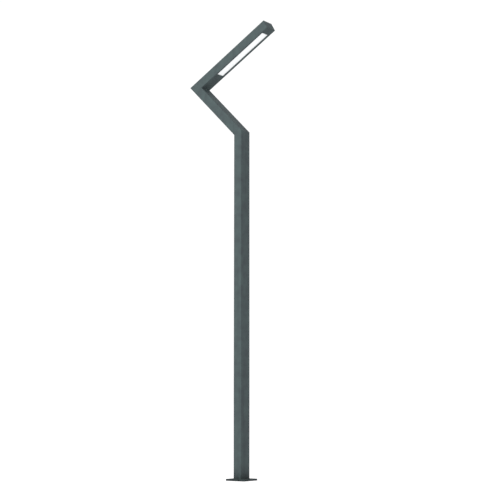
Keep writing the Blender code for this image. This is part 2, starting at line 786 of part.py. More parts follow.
def lock(door_pivot, lock_pivot):
    """Quarter-turn lock for a triangular key. The cam stands clear of the frame here."""
    at = Vector((0, LOCK_Y, DOOR_Z))

    def disc(start_x, end_x, radius, sides=24):
        return rod_between(at + Vector((start_x, 0, 0)), at + Vector((end_x, 0, 0)), radius, sides)

    flange_x = REAR - GAP
    front = flange_x - LOCK_FLANGE_T
    body_end = REAR + LOCK_BARREL_END
    flange = disc(front, flange_x, LOCK_FLANGE_R, 32)
    housing = part("lock_housing", flange, ZINC, door_pivot)
    barrel = disc(front + LOCK_FLANGE_T / 2, body_end, LOCK_BARREL_R)
    join(housing, guide("lock_barrel", barrel, door_pivot))
    bore = disc(front - WALL, body_end + WALL, PLUG_R + GAP)
    cut(housing, guide("lock_bore", bore, door_pivot))
    nut_start = REAR + DOOR_T + GAP
    nut_body = disc(nut_start, nut_start + LOCK_NUT_T, LOCK_FLANGE_R, 6)
    lock_nut = part("lock_nut", nut_body, ZINC, door_pivot)
    nut_bore = disc(REAR - WALL, body_end + WALL, LOCK_BARREL_R + GAP)
    cut(lock_nut, guide("lock_nut_bore", nut_bore, door_pivot))

    plug_end = body_end + 0.0002  # stands out of the barrel, so that the cam turns clear of it
    plug = part("lock_plug", disc(front + GAP, plug_end, PLUG_R), ZINC, lock_pivot)
    cut(plug, guide("key_socket", disc(front - GAP, flange_x + 0.003, KEY_R, 3), lock_pivot))
    thread = disc(plug_end - CAM_SCREW_LENGTH + CAM_T - PLAY, plug_end + GAP, CAM_SCREW_R + GAP, 16)
    cut(plug, guide("plug_thread", thread, lock_pivot))
    cam_x = plug_end + GAP
    cam_low = (cam_x, LOCK_Y - CAM_HALF_W, DOOR_Z - CAM_HALF_W)
    cam_high = (cam_x + CAM_T, LOCK_Y + CAM_HALF_W, DOOR_Z + CAM_REACH)
    cam = part("lock_cam", block(cam_low, cam_high, 0, 0.0045), ZINC, lock_pivot)
    cam_hole = disc(cam_x - WALL, cam_x + WALL, CAM_SCREW_R + GAP, 16)
    cut(cam, guide("cam_hole", cam_hole, lock_pivot))
    screw(
        "cam_screw",
        ZINC,
        at + Vector((cam_x + CAM_T + GAP, 0, 0)),
        (-1, 0, 0),
        CAM_SCREW_R + 0.0018,
        CAM_SCREW_R + 0.0002,
        CAM_SCREW_R,
        CAM_SCREW_LENGTH,
        lock_pivot,
    )


# Gear behind the door


def gear_plate():
    half_w = GEAR_PLATE_W / 2
    plate = part(
        "gear_plate",
        block(
            (GEAR_PLATE_X, -half_w, DOOR_Z - GEAR_PLATE_H / 2),
            (GEAR_PLATE_X + GEAR_PLATE_T, half_w, DOOR_Z + GEAR_PLATE_H / 2),
            0,
            0.004,
        ),
        ZINC,
    )
    wall_x = SECTION_X / 2 - WALL - GAP
    bore = STUD_R + PLAY
    for side, name in ((-1, "lower"), (1, "upper")):
        z = DOOR_Z + side * STUD_OFFSET
        hole = rod((GEAR_PLATE_X, 0, z), 0, bore, GEAR_PLATE_T * 10, 16)
        cut(plate, guide(f"plate_hole_{name}", hole))
        stud = rod_between((STUD_FRONT, 0, z), (wall_x, 0, z), STUD_R, 16)
        part(f"plate_stud_{name}", stud, ZINC)
        spacer_low = GEAR_PLATE_X + GEAR_PLATE_T + GAP
        washer(
            f"plate_spacer_{name}",
            ZINC,
            ((spacer_low + wall_x) / 2, 0, z),
            0,
            SPACER_R,
            wall_x - spacer_low,
            bore,
        )
        nut_at = (GEAR_PLATE_X - GAP - STUD_NUT_T / 2, 0, z)
        nut(f"plate_nut_{name}", ZINC, nut_at, 0, STUD_NUT_R, STUD_NUT_T, bore)
    return plate


def lug(name, body, y, z, size_y, size_z):
    """A fixing lug on the back of a gear, with its screw hole."""
    high_x = GEAR_PLATE_X - GAP
    low, high = around((0, y, z), (0, size_y, size_z))
    low.x = high_x - LUG_T
    high.x = high_x
    join(body, guide(name + "_lug", block(low, high)))


def gear_screw(name, plate, body, y, z):
    """A screw through a lug and the gear plate, and its holes."""
    drill = rod((GEAR_PLATE_X, y, z), 0, GEAR_SCREW_R + GAP, GEAR_PLATE_T * 10, 16)
    hole = guide(name + "_hole", drill)
    cut(plate, hole)
    cut(body, hole)
    screw(
        name,
        ZINC,
        (GEAR_PLATE_X - 2 * GAP - LUG_T, y, z),
        (1, 0, 0),
        GEAR_SCREW_R + 0.0015,
        GEAR_SCREW_R + 0.0003,
        GEAR_SCREW_R,
        GEAR_SCREW_LENGTH,
    )


def fuse_cutout(plate, pivot):
    """Supply cut-out with a pull-out carrier that holds the fuse."""
    back = GEAR_PLATE_X - GAP
    half_w = CUTOUT_W / 2
    body = part(
        "fuse_cutout",
        block((CUTOUT_FRONT, -half_w, CUTOUT_LOW), (back, half_w, CUTOUT_HIGH), 0, 0.003, 2),
        GREY_PLASTIC,
    )
    middle_z = (CUTOUT_LOW + CUTOUT_HIGH) / 2
    slot = block(
        *around(
            (CUTOUT_FRONT, 0, middle_z), (2 * CARRIER_DEPTH, CARRIER_W, CARRIER_H)
        )
    )
    cut(body, guide("carrier_slot", slot))
    for side, name in ((-1, "near"), (1, "far")):
        y = side * (half_w + 0.004)
        lug(f"cutout_{name}", body, side * (half_w + 0.003), middle_z, 0.012, 0.014)
        gear_screw(f"cutout_screw_{name}", plate, body, y + side * 0.0005, middle_z)

    carrier = part(
        "fuse_carrier",
        block(
            *around(
                (CUTOUT_FRONT + CARRIER_BODY / 2, 0, middle_z),
                (CARRIER_BODY, CARRIER_W - 2 * PLAY, CARRIER_H - 2 * PLAY),
            )
        ),
        DARK_PLASTIC,
        pivot,
    )
    grip_low, grip_high = around((0, 0, middle_z), (0, GRIP_W, GRIP_H))
    grip_low.x = CUTOUT_FRONT - GRIP_OUT
    grip_high.x = CUTOUT_FRONT + 0.003
    grip = block(grip_low, grip_high, 0, 0.0015, 2)
    join(carrier, guide("carrier_grip", grip, pivot))
    fuse_x = CUTOUT_FRONT + 0.0155
    pocket = block(
        *around((fuse_x + 0.003, 0, middle_z), (0.018, FUSE_R * 2 + 0.0015, FUSE_LENGTH + 0.002))
    )
    cut(carrier, guide("fuse_pocket", pocket, pivot))
    part("fuse_link", rod((fuse_x, 0, middle_z), 2, FUSE_R, FUSE_LENGTH), FUSE_WHITE, pivot)

    for side, name in ((-1, "in"), (1, "out")):
        top = Vector((0.006, side * 0.012, CUTOUT_LOW - GAP))
        down = Vector((0, 0, -1))
        hexagon = rod_between(top, top + down * SUPPLY_GLAND_HEX_H, SUPPLY_GLAND_HEX_R, 6)
        body = part(f"supply_gland_{name}", hexagon, DARK_PLASTIC)
        nose_top = top + down * SUPPLY_GLAND_HEX_H / 2
        nose = rod_between(nose_top, top + down * GLAND_LENGTH, SUPPLY_GLAND_NOSE_R, 16)
        join(body, guide(f"supply_gland_nose_{name}", nose))


def led_driver(plate):
    back = GEAR_PLATE_X - GAP
    half_w = DRIVER_W / 2
    case_low = Vector((back - DRIVER_D, -half_w, DRIVER_LOW + DRIVER_END))
    case_high = Vector((back, half_w, DRIVER_HIGH - DRIVER_END))
    body = part("led_driver", block(case_low, case_high, 2, 0.003, 2), DRIVER_WHITE)
    lug_h = DRIVER_END + 0.002
    for z, inwards, name in ((DRIVER_LOW, 1, "lower"), (DRIVER_HIGH, -1, "upper")):
        lug(f"driver_{name}", body, DRIVER_LUG_Y, z + inwards * lug_h / 2, 0.014, lug_h)
        screw_z = z + inwards * DRIVER_END / 2
        gear_screw(f"driver_screw_{name}", plate, body, DRIVER_LUG_Y, screw_z)
    low = Vector((0.008, -0.008, case_high.z + GAP))
    up = Vector((0, 0, 1))
    hexagon = rod_between(low, low + up * DRIVER_GLAND_HEX_H, SMALL_GLAND_HEX_R, 6)
    gland = part("driver_gland", hexagon, DARK_PLASTIC)
    nose_top = low + up * GLAND_LENGTH
    nose = rod_between(low + up * 0.003, nose_top, SMALL_GLAND_NOSE_R, 16)
    join(gland, guide("driver_gland_nose", nose))
    return nose_top + up * GAP


def earth_point():
    """Earth stud on the pole's far side wall, with its ring terminal and lead."""
    wall_y = SECTION_Y / 2 - WALL - GAP
    bore = EARTH_STUD_R + PLAY
    stud_ends = ((EARTH_X, EARTH_STUD_START, EARTH_Z), (EARTH_X, wall_y, EARTH_Z))
    part("earth_stud", rod_between(*stud_ends, EARTH_STUD_R, 20), BRASS)

    def at(y):
        return EARTH_X, y, EARTH_Z

    y = wall_y - GAP - 0.006
    washer("earth_washer", BRASS, at(y), 1, EARTH_WASHER_R, EARTH_WASHER_T, bore)
    y -= EARTH_WASHER_T / 2 + GAP + EARTH_RING_T / 2
    terminal = washer("earth_terminal", ZINC, at(y), 1, EARTH_RING_R, EARTH_RING_T, bore)
    barrel_y = y + EARTH_RING_T / 2 - EARTH_BARREL_R
    barrel_top = Vector((EARTH_X, barrel_y, EARTH_Z + 0.018))
    barrel_low = barrel_top - Vector((0, 0, EARTH_BARREL_LENGTH))
    barrel = rod_between(barrel_low, barrel_top, EARTH_BARREL_R, 16)
    join(terminal, guide("terminal_barrel", barrel))
    clear_y = y - EARTH_RING_T / 2 - GAP - EARTH_NUT_T / 2
    clear = rod(at(clear_y), 1, EARTH_NUT_R + 2 * GAP, EARTH_NUT_T + GAP)
    cut(terminal, guide("terminal_clearance", clear))
    nut("earth_nut", BRASS, at(clear_y), 1, EARTH_NUT_R, EARTH_NUT_T, bore)
    return barrel_top + Vector((0, 0, GAP))


def leads(driver_exit, unit_entry, earth_start):
    """Cables inside the post: driver to LED unit, cut-out to driver, and earth stud to cut-out."""
    pole_up = Vector((0, 0, 1))
    lead(
        "lamp_cable",
        CABLE_BLACK,
        [
            driver_exit,
            driver_exit + pole_up * 0.020,
            Vector((0.004, -0.004, driver_exit.z + 0.25)),
            Vector((0.000, 0.000, 1.6)),
            Vector((-0.002, 0.000, 2.4)),
            BEND - pole_up * 0.06 + Vector((-0.001, 0, 0)),
            BEND + LOWER_DIR * 0.06,
            BEND + LOWER_DIR * LOWER_LENGTH * 0.5,
            ELBOW - LOWER_DIR * 0.055,
            ELBOW - LOWER_DIR * 0.012 + UPPER_DIR * 0.004,
            ELBOW + UPPER_DIR * 0.055 - UPPER_UP * 0.006,
            unit_entry - UPPER_DIR * 0.06,
            unit_entry - UPPER_DIR * 0.015,
            unit_entry,
        ],
        CABLE_R,
        0.045,
    )
    lead(
        "driver_lead",
        CABLE_BLACK,
        [
            (0.010, 0.006, CUTOUT_HIGH + GAP),
            (0.010, 0.006, CUTOUT_HIGH + 0.014),
            (0.009, 0.002, (CUTOUT_HIGH + DRIVER_LOW) / 2),
            (0.008, -0.006, DRIVER_LOW - 0.004),
            (0.008, -0.006, DRIVER_LOW + 0.009 - GAP),
        ],
        CABLE_R * 0.8,
        0.008,
    )
    side = Vector((0.010, CUTOUT_W / 2 + GAP, 0.512))
    lead(
        "earth_lead",
        EARTH_GREEN,
        [
            earth_start,
            earth_start + pole_up * 0.012,
            Vector((-0.004, 0.042, 0.506)),
            side + Vector((0, 0.010, 0)),
            side + Vector((0, 0.005, 0)),
            side,
        ],
        EARTH_LEAD_R,
        0.006,
    )


def build():
    base_plate()
    pole_shaft()
    lower_arm()

    upper_axis = empty("upper_arm_axis", ELBOW, (0, -UPPER_ANGLE, 0))
    upper_arm(upper_axis)
    end_cap(upper_axis)
    panel_surround(upper_axis)
    led_unit(upper_axis)
    for name, offset in (("low", -0.15), ("high", 0.15)):
        leaf_spring(f"unit_spring_{name}", PANEL_MIDDLE + offset, upper_axis)
    unit_entry = unit_gland(upper_axis)

    door_pivot = empty("pivot_door_hinge", (HINGE_X, HINGE_Y, DOOR_Z))
    lock_pivot = empty("pivot_lock", (REAR, LOCK_Y, DOOR_Z))
    door_frame()
    access_door(door_pivot)
    hinge("lower", DOOR_Z - HINGE_SPACING / 2, door_pivot)
    hinge("upper", DOOR_Z + HINGE_SPACING / 2, door_pivot)
    lock(door_pivot, lock_pivot)

    plate = gear_plate()
    carrier_pivot = empty("pivot_fuse_carrier", (CUTOUT_FRONT, 0, (CUTOUT_LOW + CUTOUT_HIGH) / 2))
    fuse_cutout(plate, carrier_pivot)
    driver_exit = led_driver(plate)
    leads(driver_exit, unit_entry, earth_point())


build()
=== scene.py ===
"""Street lamp post: a zigzag of rectangular steel tube with a light panel in its upper arm."""

from math import cos, pi, radians, sin, tan

import bmesh
import bpy
from mathutils import Matrix, Vector


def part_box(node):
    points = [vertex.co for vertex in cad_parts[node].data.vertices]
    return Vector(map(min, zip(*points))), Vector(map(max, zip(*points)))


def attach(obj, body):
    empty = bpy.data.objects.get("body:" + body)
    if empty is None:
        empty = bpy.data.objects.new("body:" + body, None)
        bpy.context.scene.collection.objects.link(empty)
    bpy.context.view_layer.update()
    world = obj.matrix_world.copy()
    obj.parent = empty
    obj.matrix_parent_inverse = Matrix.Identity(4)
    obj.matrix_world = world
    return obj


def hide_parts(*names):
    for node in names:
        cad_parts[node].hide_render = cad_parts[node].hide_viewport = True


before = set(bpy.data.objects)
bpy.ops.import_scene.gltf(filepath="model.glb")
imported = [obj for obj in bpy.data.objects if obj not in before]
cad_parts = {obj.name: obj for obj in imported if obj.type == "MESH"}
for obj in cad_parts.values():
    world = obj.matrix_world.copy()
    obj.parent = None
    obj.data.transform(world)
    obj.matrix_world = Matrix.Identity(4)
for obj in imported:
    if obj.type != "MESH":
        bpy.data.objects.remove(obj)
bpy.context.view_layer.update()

# ------------
# Studio. A white paper floor under an even white sky, with one large soft lamp high on the left. The camera
# stands low and far off and looks slightly up.

EYE_DISTANCE = 10.193
EYE_AZIMUTH = radians(37.03)
EYE_HEIGHT = 0.63
EYE_PITCH = radians(7.41)
EYE_HEADING = radians(36.63)
EYE_LENS = 85.83
LAMP_PLACE = Vector((-4.5, -11.5, 7.5))
LAMP_AIM = Vector((0, 0, 3.0))
LAMP_SIZE = 5.0
LAMP_POWER = 620
LAMP_TINT = (0.95, 1.0, 0.97)
FLOOR_RADIUS = 2000
FLOOR_DROP = 0.0004
FLOOR_GLOW = 0.55
SKY_LIGHT = (0.585, 0.56, 0.575, 1)
BACKDROP = 1.04

scene = bpy.context.scene
scene.view_settings.view_transform = "Standard"


def add(name, operator, **settings):
    """An object made by one of Blender's own operators."""
    bpy.ops.object.select_all(action="DESELECT")
    operator(**settings)
    made = bpy.context.object
    made.name = name
    return made


camera = add(
    "Camera",
    bpy.ops.object.camera_add,
    location=(EYE_DISTANCE * sin(EYE_AZIMUTH), -EYE_DISTANCE * cos(EYE_AZIMUTH), EYE_HEIGHT),
    rotation=(pi / 2 + EYE_PITCH, 0, EYE_HEADING),
)
camera.data.lens = EYE_LENS
camera.data.sensor_width = 36
camera.data.clip_end = 2 * FLOOR_RADIUS
scene.camera = camera

lamp_turn = (LAMP_AIM - LAMP_PLACE).to_track_quat("-Z", "Y").to_euler()
lamp = add("key_lamp", bpy.ops.object.light_add, type="AREA", location=LAMP_PLACE, rotation=lamp_turn)
lamp.data.size = LAMP_SIZE
lamp.data.energy = LAMP_POWER
lamp.data.color = LAMP_TINT


def add_node(tree, kind, inputs=None, **settings):
    """A node with its settings, and its inputs linked or set by name or number."""
    made = tree.nodes.new(kind)
    for setting, value in settings.items():
        setattr(made, setting, value)
    for name, value in (inputs or {}).items():
        if isinstance(value, bpy.types.NodeSocket):
            tree.links.new(value, made.inputs[name])
        else:
            made.inputs[name].default_value = value
    return made


def ramp(tree, value, low, high, to_low=0.0, to_high=1.0):
    """Takes a value from one range to another, clamped."""
    ends = {"Value": value, "From Min": low, "From Max": high, "To Min": to_low, "To Max": to_high}
    return add_node(tree, "ShaderNodeMapRange", ends).outputs["Result"]


def mixed(tree, factor, first, second, blend_type="MIX"):
    """Two colours mixed by a factor. The node's colours are inputs 6 and 7 and output 2."""
    colours = {0: factor, 6: first, 7: second}
    return add_node(tree, "ShaderNodeMix", colours, data_type="RGBA", blend_type=blend_type).outputs[2]


def white_sky():
    """A white backdrop that lights the post gently and evenly from every side."""
    world = bpy.data.worlds.new("white_sky")
    world.use_nodes = True
    tree = world.node_tree
    light = tree.nodes["Background"]
    light.inputs["Color"].default_value = SKY_LIGHT
    backdrop = add_node(tree, "ShaderNodeBackground", {"Color": (1, 1, 1, 1), "Strength": BACKDROP})
    seen = add_node(tree, "ShaderNodeLightPath").outputs["Is Camera Ray"]
    choice = {0: seen, 1: light.outputs[0], 2: backdrop.outputs[0]}
    shown = add_node(tree, "ShaderNodeMixShader", choice).outputs[0]
    tree.links.new(shown, tree.nodes["World Output"].inputs["Surface"])
    return world


scene.world = white_sky()


def noise(tree, where, scale, detail=2.0, stretch=(1, 1, 1)):
    """Noise on these coordinates, drawn out along an axis whose stretch is below 1."""
    mapping = add_node(tree, "ShaderNodeMapping", {"Vector": where, "Scale": stretch})
    spots = {"Vector": mapping.outputs["Vector"], "Scale": scale, "Detail": detail}
    return add_node(tree, "ShaderNodeTexNoise", spots).outputs["Fac"]


def object_space(tree):
    return add_node(tree, "ShaderNodeTexCoord").outputs["Object"]


def new_material(name, colour, roughness, metallic=0.0):
    """A Principled material, its tree and its shader."""
    material = bpy.data.materials.new(name)
    material.use_nodes = True
    shader = material.node_tree.nodes["Principled BSDF"]
    shader.inputs["Base Color"].default_value = (*colour[:3], 1)
    shader.inputs["Roughness"].default_value = roughness
    shader.inputs["Metallic"].default_value = metallic
    return material, material.node_tree, shader


def studio_floor():
    """Matt white paper, lit from below as on a light table, with a tone that hardly varies."""
    material, tree, shader = new_material("studio_floor", (0.95, 0.95, 0.95), 1.0)
    tone = ramp(tree, noise(tree, object_space(tree), 0.6, 3), 0.3, 0.7)
    paper = mixed(tree, tone, (0.94, 0.94, 0.94, 1), (0.95, 0.95, 0.95, 1))
    tree.links.new(paper, shader.inputs["Base Color"])
    shader.inputs["Specular IOR Level"].default_value = 0.0
    shader.inputs["Emission Color"].default_value = (1, 1, 1, 1)
    shader.inputs["Emission Strength"].default_value = FLOOR_GLOW
    return material


disc = {"vertices": 96, "radius": FLOOR_RADIUS, "fill_type": "NGON"}
floor = add("floor", bpy.ops.mesh.primitive_circle_add, location=(0, 0, -FLOOR_DROP), **disc)
floor.data.materials.append(studio_floor())
floor.visible_diffuse = False
floor.visible_glossy = False

# ------------
# Base plate. Thick steel plate, laser cut with four anchor holes and a cable hole under the pole, and
# powder coated together with the post.

PLATE_CORNER = 0.003
PLATE_EDGE = 0.0009
ANCHOR_HOLE = 0.009
ANCHOR_REACH = 0.070
CABLE_HOLE = 0.030
POST_GREY = (0.111, 0.149, 0.152, 1)
STREAK_GREY = (0.045, 0.055, 0.056, 1)
GRIME = (0.020, 0.021, 0.022, 1)
PAINT_SPECULAR = 0.1


def sum_up(tree, operation, *values):
    """One of the Math node's operations on one to three values."""
    return add_node(tree, "ShaderNodeMath", dict(enumerate(values)), operation=operation).outputs[0]


def new_group(name, **inputs):
    """A shader group that makes a colour, a roughness and a normal from these inputs."""
    group = bpy.data.node_groups.new(name, "ShaderNodeTree")
    for socket, default in inputs.items():
        kind = "NodeSocketColor" if isinstance(default, tuple) else "NodeSocketFloat"
        made = group.interface.new_socket(socket.replace("_", " "), in_out="INPUT", socket_type=kind)
        made.default_value = default
    for socket, kind in (("Colour", "Color"), ("Roughness", "Float"), ("Normal", "Vector")):
        group.interface.new_socket(socket, in_out="OUTPUT", socket_type="NodeSocket" + kind)
    return group, group.nodes.new("NodeGroupInput").outputs, group.nodes.new("NodeGroupOutput").inputs


def raised(tree, strength, distance, height):
    """The normal of a surface that is raised by this height."""
    relief = {"Strength": strength, "Distance": distance, "Height": height}
    return add_node(tree, "ShaderNodeBump", relief).outputs["Normal"]


def powder_coat_group():
    """Powder coat: faint mottling, rain streaks, grime near the ground and a fine orange peel."""
    group, given, result = new_group(
        "powder_coat",
        Paint=POST_GREY, Streak=STREAK_GREY, Grime=GRIME, Grime_Height=0.15, Grime_Amount=0.88, Peel=0.15,
    )
    where = object_space(group)
    mottle = ramp(group, noise(group, where, 15, 6), 0.32, 0.68)
    deep = mixed(group, 1.0, given["Paint"], (0.90, 0.87, 0.89, 1), "MULTIPLY")
    light = mixed(group, 1.0, given["Paint"], (1.09, 1.13, 1.10, 1), "MULTIPLY")
    coat = mixed(group, mottle, deep, light)
    streak = ramp(group, noise(group, where, 34, 3, (1, 1, 0.03)), 0.52, 0.75, 0.0, 0.22)
    coat = mixed(group, streak, coat, given["Streak"])
    height = add_node(group, "ShaderNodeSeparateXYZ", {"Vector": where}).outputs["Z"]
    fade = sum_up(group, "POWER", ramp(group, height, 0.0, given["Grime Height"], 1.0, 0.0), 2.2)
    patches = ramp(group, noise(group, where, 55, 6), 0.36, 0.64, 0.5, 1.0)
    dirty = sum_up(group, "MULTIPLY", sum_up(group, "MULTIPLY", fade, patches), given["Grime Amount"])
    group.links.new(mixed(group, dirty, coat, given["Grime"]), result["Colour"])
    satin = ramp(group, noise(group, where, 24, 4), 0.3, 0.7, 0.50, 0.62)
    group.links.new(sum_up(group, "MULTIPLY_ADD", dirty, 0.35, satin), result["Roughness"])
    peel = sum_up(group, "ADD", noise(group, where, 420, 2), noise(group, where, 1300, 1))
    group.links.new(raised(group, given["Peel"], 0.0004, peel), result["Normal"])
    return group


def coated(name, group, colour, roughness, metallic=0.0, **values):
    """A material whose colour, roughness and normal come from a group with these values."""
    material, tree, shader = new_material(name, colour, roughness, metallic)
    coat = tree.nodes.new("ShaderNodeGroup")
    coat.node_tree = group
    for socket, value in values.items():
        coat.inputs[socket.replace("_", " ")].default_value = value
    for output, target in (("Colour", "Base Color"), ("Roughness", "Roughness"), ("Normal", "Normal")):
        tree.links.new(coat.outputs[output], shader.inputs[target])
    return material


POST_PAINT = coated("basalt_powder_coat", powder_coat_group(), POST_GREY, 0.55)
POST_PAINT.node_tree.nodes["Principled BSDF"].inputs["Specular IOR Level"].default_value = PAINT_SPECULAR


def only(piece):
    """Selects this piece alone and makes it active."""
    bpy.ops.object.select_all(action="DESELECT")
    piece.select_set(True)
    bpy.context.view_layer.objects.active = piece


def modify(piece, kind, **settings):
    """Adds a modifier and applies it."""
    only(piece)
    modifier = piece.modifiers.new(kind.lower(), kind)
    for setting, value in settings.items():
        setattr(modifier, setting, value)
    bpy.ops.object.modifier_apply(modifier=modifier.name)
    return piece


def soften(piece, width, segments=2, angle=40):
    """Rounds every edge sharper than this angle."""
    limit = {"limit_method": "ANGLE", "angle_limit": radians(angle)}
    return modify(piece, "BEVEL", width=width, segments=segments, **limit)


def carve(piece, *tools, operation="DIFFERENCE"):
    """Cuts tool shapes out of a piece, or joins them to it, and clears them away."""
    for tool in tools:
        modify(piece, "BOOLEAN", object=tool, operation=operation)
        bpy.data.objects.remove(tool)
    return piece


def fix_place(piece):
    """Puts a piece's place, turn and size in its mesh."""
    only(piece)
    bpy.ops.object.transform_apply(location=True, rotation=True, scale=True)
    return piece


def add_block(name, low, high):
    """A block between two corners."""
    low, high = Vector(low), Vector(high)
    piece = add(name, bpy.ops.mesh.primitive_cube_add, size=1, location=(low + high) / 2)
    piece.scale = high - low
    return fix_place(piece)


def add_rod(name, start, end, radius, sides=40, tip=None):
    """A rod between two points, or a cone where tip is its radius at the end."""
    way = Vector(end) - Vector(start)
    upright = "X" if abs(way.x) > abs(way.y) else "Y"
    place = {"location": Vector(start) + way / 2, "rotation": way.to_track_quat("Z", upright).to_euler()}
    size = {"radius1": radius, "radius2": radius if tip is None else tip, "depth": way.length}
    return fix_place(add(name, bpy.ops.mesh.primitive_cone_add, vertices=sides, **size, **place))


def edit(piece, kind, test, operator, **settings):
    """Runs an edit-mode operator on the faces or edges that pass the test, or on all."""
    only(piece)
    bpy.ops.object.mode_set(mode="EDIT")
    bpy.ops.mesh.select_mode(type=kind)
    bpy.ops.mesh.select_all(action="DESELECT")
    cage = bmesh.from_edit_mesh(piece.data)
    for element in cage.faces if kind == "FACE" else cage.edges:
        element.select_set(test is None or bool(test(element)))
    cage.select_flush_mode()
    bmesh.update_edit_mesh(piece.data)
    operator(**settings)
    bpy.ops.object.mode_set(mode="OBJECT")
    return piece


def runs_along(axis):
    """A test for edges that run only along X, Y or Z."""

    def test(edge):
        span = edge.verts[0].co - edge.verts[1].co
        return abs(span[axis]) > 0.999 * span.length

    return test


def add_slab(name, low, high, axis, radius, segments=6):
    """A block whose four edges along one axis are rounded."""
    slab = add_block(name, low, high)
    rounding = {"offset": radius, "segments": segments, "affect": "EDGES"}
    return edit(slab, "EDGE", runs_along(axis), bpy.ops.mesh.bevel, **rounding)


def settle(piece, material, slot, *nodes, body="post", angle=32):
    """Finishes a piece: place in its mesh, shading, materials, the body it rides on, what it stands for."""
    fix_place(piece)
    bpy.ops.object.shade_smooth_by_angle(angle=radians(angle))
    modify(piece, "WEIGHTED_NORMAL", keep_sharp=True, weight=80)
    for one in material if isinstance(material, list) else [material]:
        piece.data.materials.append(one)
    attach(piece, body)
    if nodes:
        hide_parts(*nodes)


plate_low, plate_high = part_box("base_plate")
base_plate = add_slab("base_plate_painted", plate_low, plate_high, 2, PLATE_CORNER, 5)
sides = -ANCHOR_REACH, ANCHOR_REACH
holes = [(x, y, ANCHOR_HOLE, 48) for x in sides for y in sides] + [(0, 0, CABLE_HOLE, 64)]
for x, y, radius, facets in holes:
    carve(base_plate, add_rod("drill", (x, y, -PLATE_CORNER), (x, y, plate_high.z * 2), radius, facets))
soften(base_plate, PLATE_EDGE, 3)
settle(base_plate, POST_PAINT, "post_paint", "base_plate")

# ------------
# Pole. Rectangular steel tube with rounded corners, galvanised and coated, mitred at the top for the lower
# arm, with a laser-cut opening for the access door near its foot.

TUBE_WALL = 0.004
TUBE_CORNER = 0.003
BORE_CORNER = 0.001
BORE_INSET = 0.0032
BEND_TURN = radians(45)
LOWER_TILT = radians(45)
MITRE_GAP = 0.0003
DOOR_CORNER = 0.008
DOOR_MARGIN = 0.0015
ZINC_GREY = (0.52, 0.54, 0.55, 1)
FILM_GREY = (0.30, 0.31, 0.31, 1)

UP = Vector((0, 0, 1))
ACROSS = Vector((0, 1, 0))
LOWER_DIR = Vector((-cos(LOWER_TILT), 0, sin(LOWER_TILT)))
BEND_NORMAL = (UP + LOWER_DIR).normalized()


def laid(direction):
    """The turn from a straight piece, made along X, to this direction. Y stays across the light panel."""
    return Matrix((direction, ACROSS, direction.cross(ACROSS))).transposed()


def box_along(node, turn):
    """Lowest and highest corner of a CAD node, measured along and across a turned direction."""
    back = turn.transposed()
    places = [back @ vertex.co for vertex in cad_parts[node].data.vertices]
    low = Vector([min(place[i] for place in places) for i in range(3)])
    high = Vector([max(place[i] for place in places) for i in range(3)])
    return low, high


def lay(piece, turn):
    """Turns a straight piece into its arm's direction."""
    piece.matrix_world = turn.to_4x4()
    return fix_place(piece)


def shape_tube(name, node, direction, *mitres):
    """A length of tube from its CAD piece's ends, bored through. What lies past each mitre's plane goes."""
    turn = laid(direction)
    low, high = box_along(node, turn)
    tube = lay(add_slab(name, low, high, 0, TUBE_CORNER), turn)
    for point, normal in mitres:
        plane = {"plane_co": point - normal * MITRE_GAP / 2, "plane_no": normal}
        edit(tube, "FACE", None, bpy.ops.mesh.bisect, use_fill=True, clear_outer=True, **plane)
    wall = Vector((-TUBE_WALL, TUBE_WALL, TUBE_WALL))
    return carve(tube, lay(add_slab("bore", low + wall, high - wall, 0, BORE_CORNER, 3), turn))


def mark(piece, index, test=None):
    """Gives all faces, or those that pass the test, another of the piece's materials."""
    for face in piece.data.polygons:
        if test is None or test(face):
            face.material_index = index


def settle_tube(tube, node, direction):
    """Settles a tube, coated outside and bare zinc inside."""
    turn = laid(direction)
    low, high = box_along(node, turn)

    def inside(face):
        centre = turn.transposed() @ face.center
        return all(low[i] + BORE_INSET < centre[i] < high[i] - BORE_INSET for i in (1, 2))

    mark(tube, 1, inside)
    settle(tube, [POST_PAINT, GALVANISED], "post_paint", node)


def metal_group():
    """Bare metal: cloudy crystals, fine scratches and a dull film."""
    group, given, result = new_group(
        "bare_metal",
        Metal=ZINC_GREY, Film=FILM_GREY, Crystals=60.0, Crystal_Amount=0.35, Shine=0.32, Scratches=0.08,
    )
    where = object_space(group)
    cells = add_node(group, "ShaderNodeTexVoronoi", {"Vector": where, "Scale": given["Crystals"]})
    tone = add_node(group, "ShaderNodeRGBToBW", {"Color": cells.outputs["Color"]}).outputs["Val"]
    cloud = sum_up(group, "MULTIPLY", ramp(group, tone, 0.2, 0.8), given["Crystal Amount"])
    film = sum_up(group, "MAXIMUM", cloud, ramp(group, noise(group, where, 18, 5), 0.45, 0.75, 0.0, 0.5))
    group.links.new(mixed(group, film, given["Metal"], given["Film"]), result["Colour"])
    group.links.new(sum_up(group, "MULTIPLY_ADD", film, 0.3, given["Shine"]), result["Roughness"])
    lines = noise(group, where, 260, 2, (0.08, 1, 1))
    height = sum_up(group, "ADD", lines, noise(group, where, 300, 2, (1, 1, 0.08)))
    group.links.new(raised(group, given["Scratches"], 0.0002, height), result["Normal"])
    return group


BARE_METAL = metal_group()


def metal(name, colour, roughness, metallic, **values):
    """A bare metal of this colour."""
    return coated(name, BARE_METAL, colour, roughness, metallic, Metal=colour, **values)


GALVANISED = metal("galvanised_steel", ZINC_GREY, 0.45, 0.9, Shine=0.42)

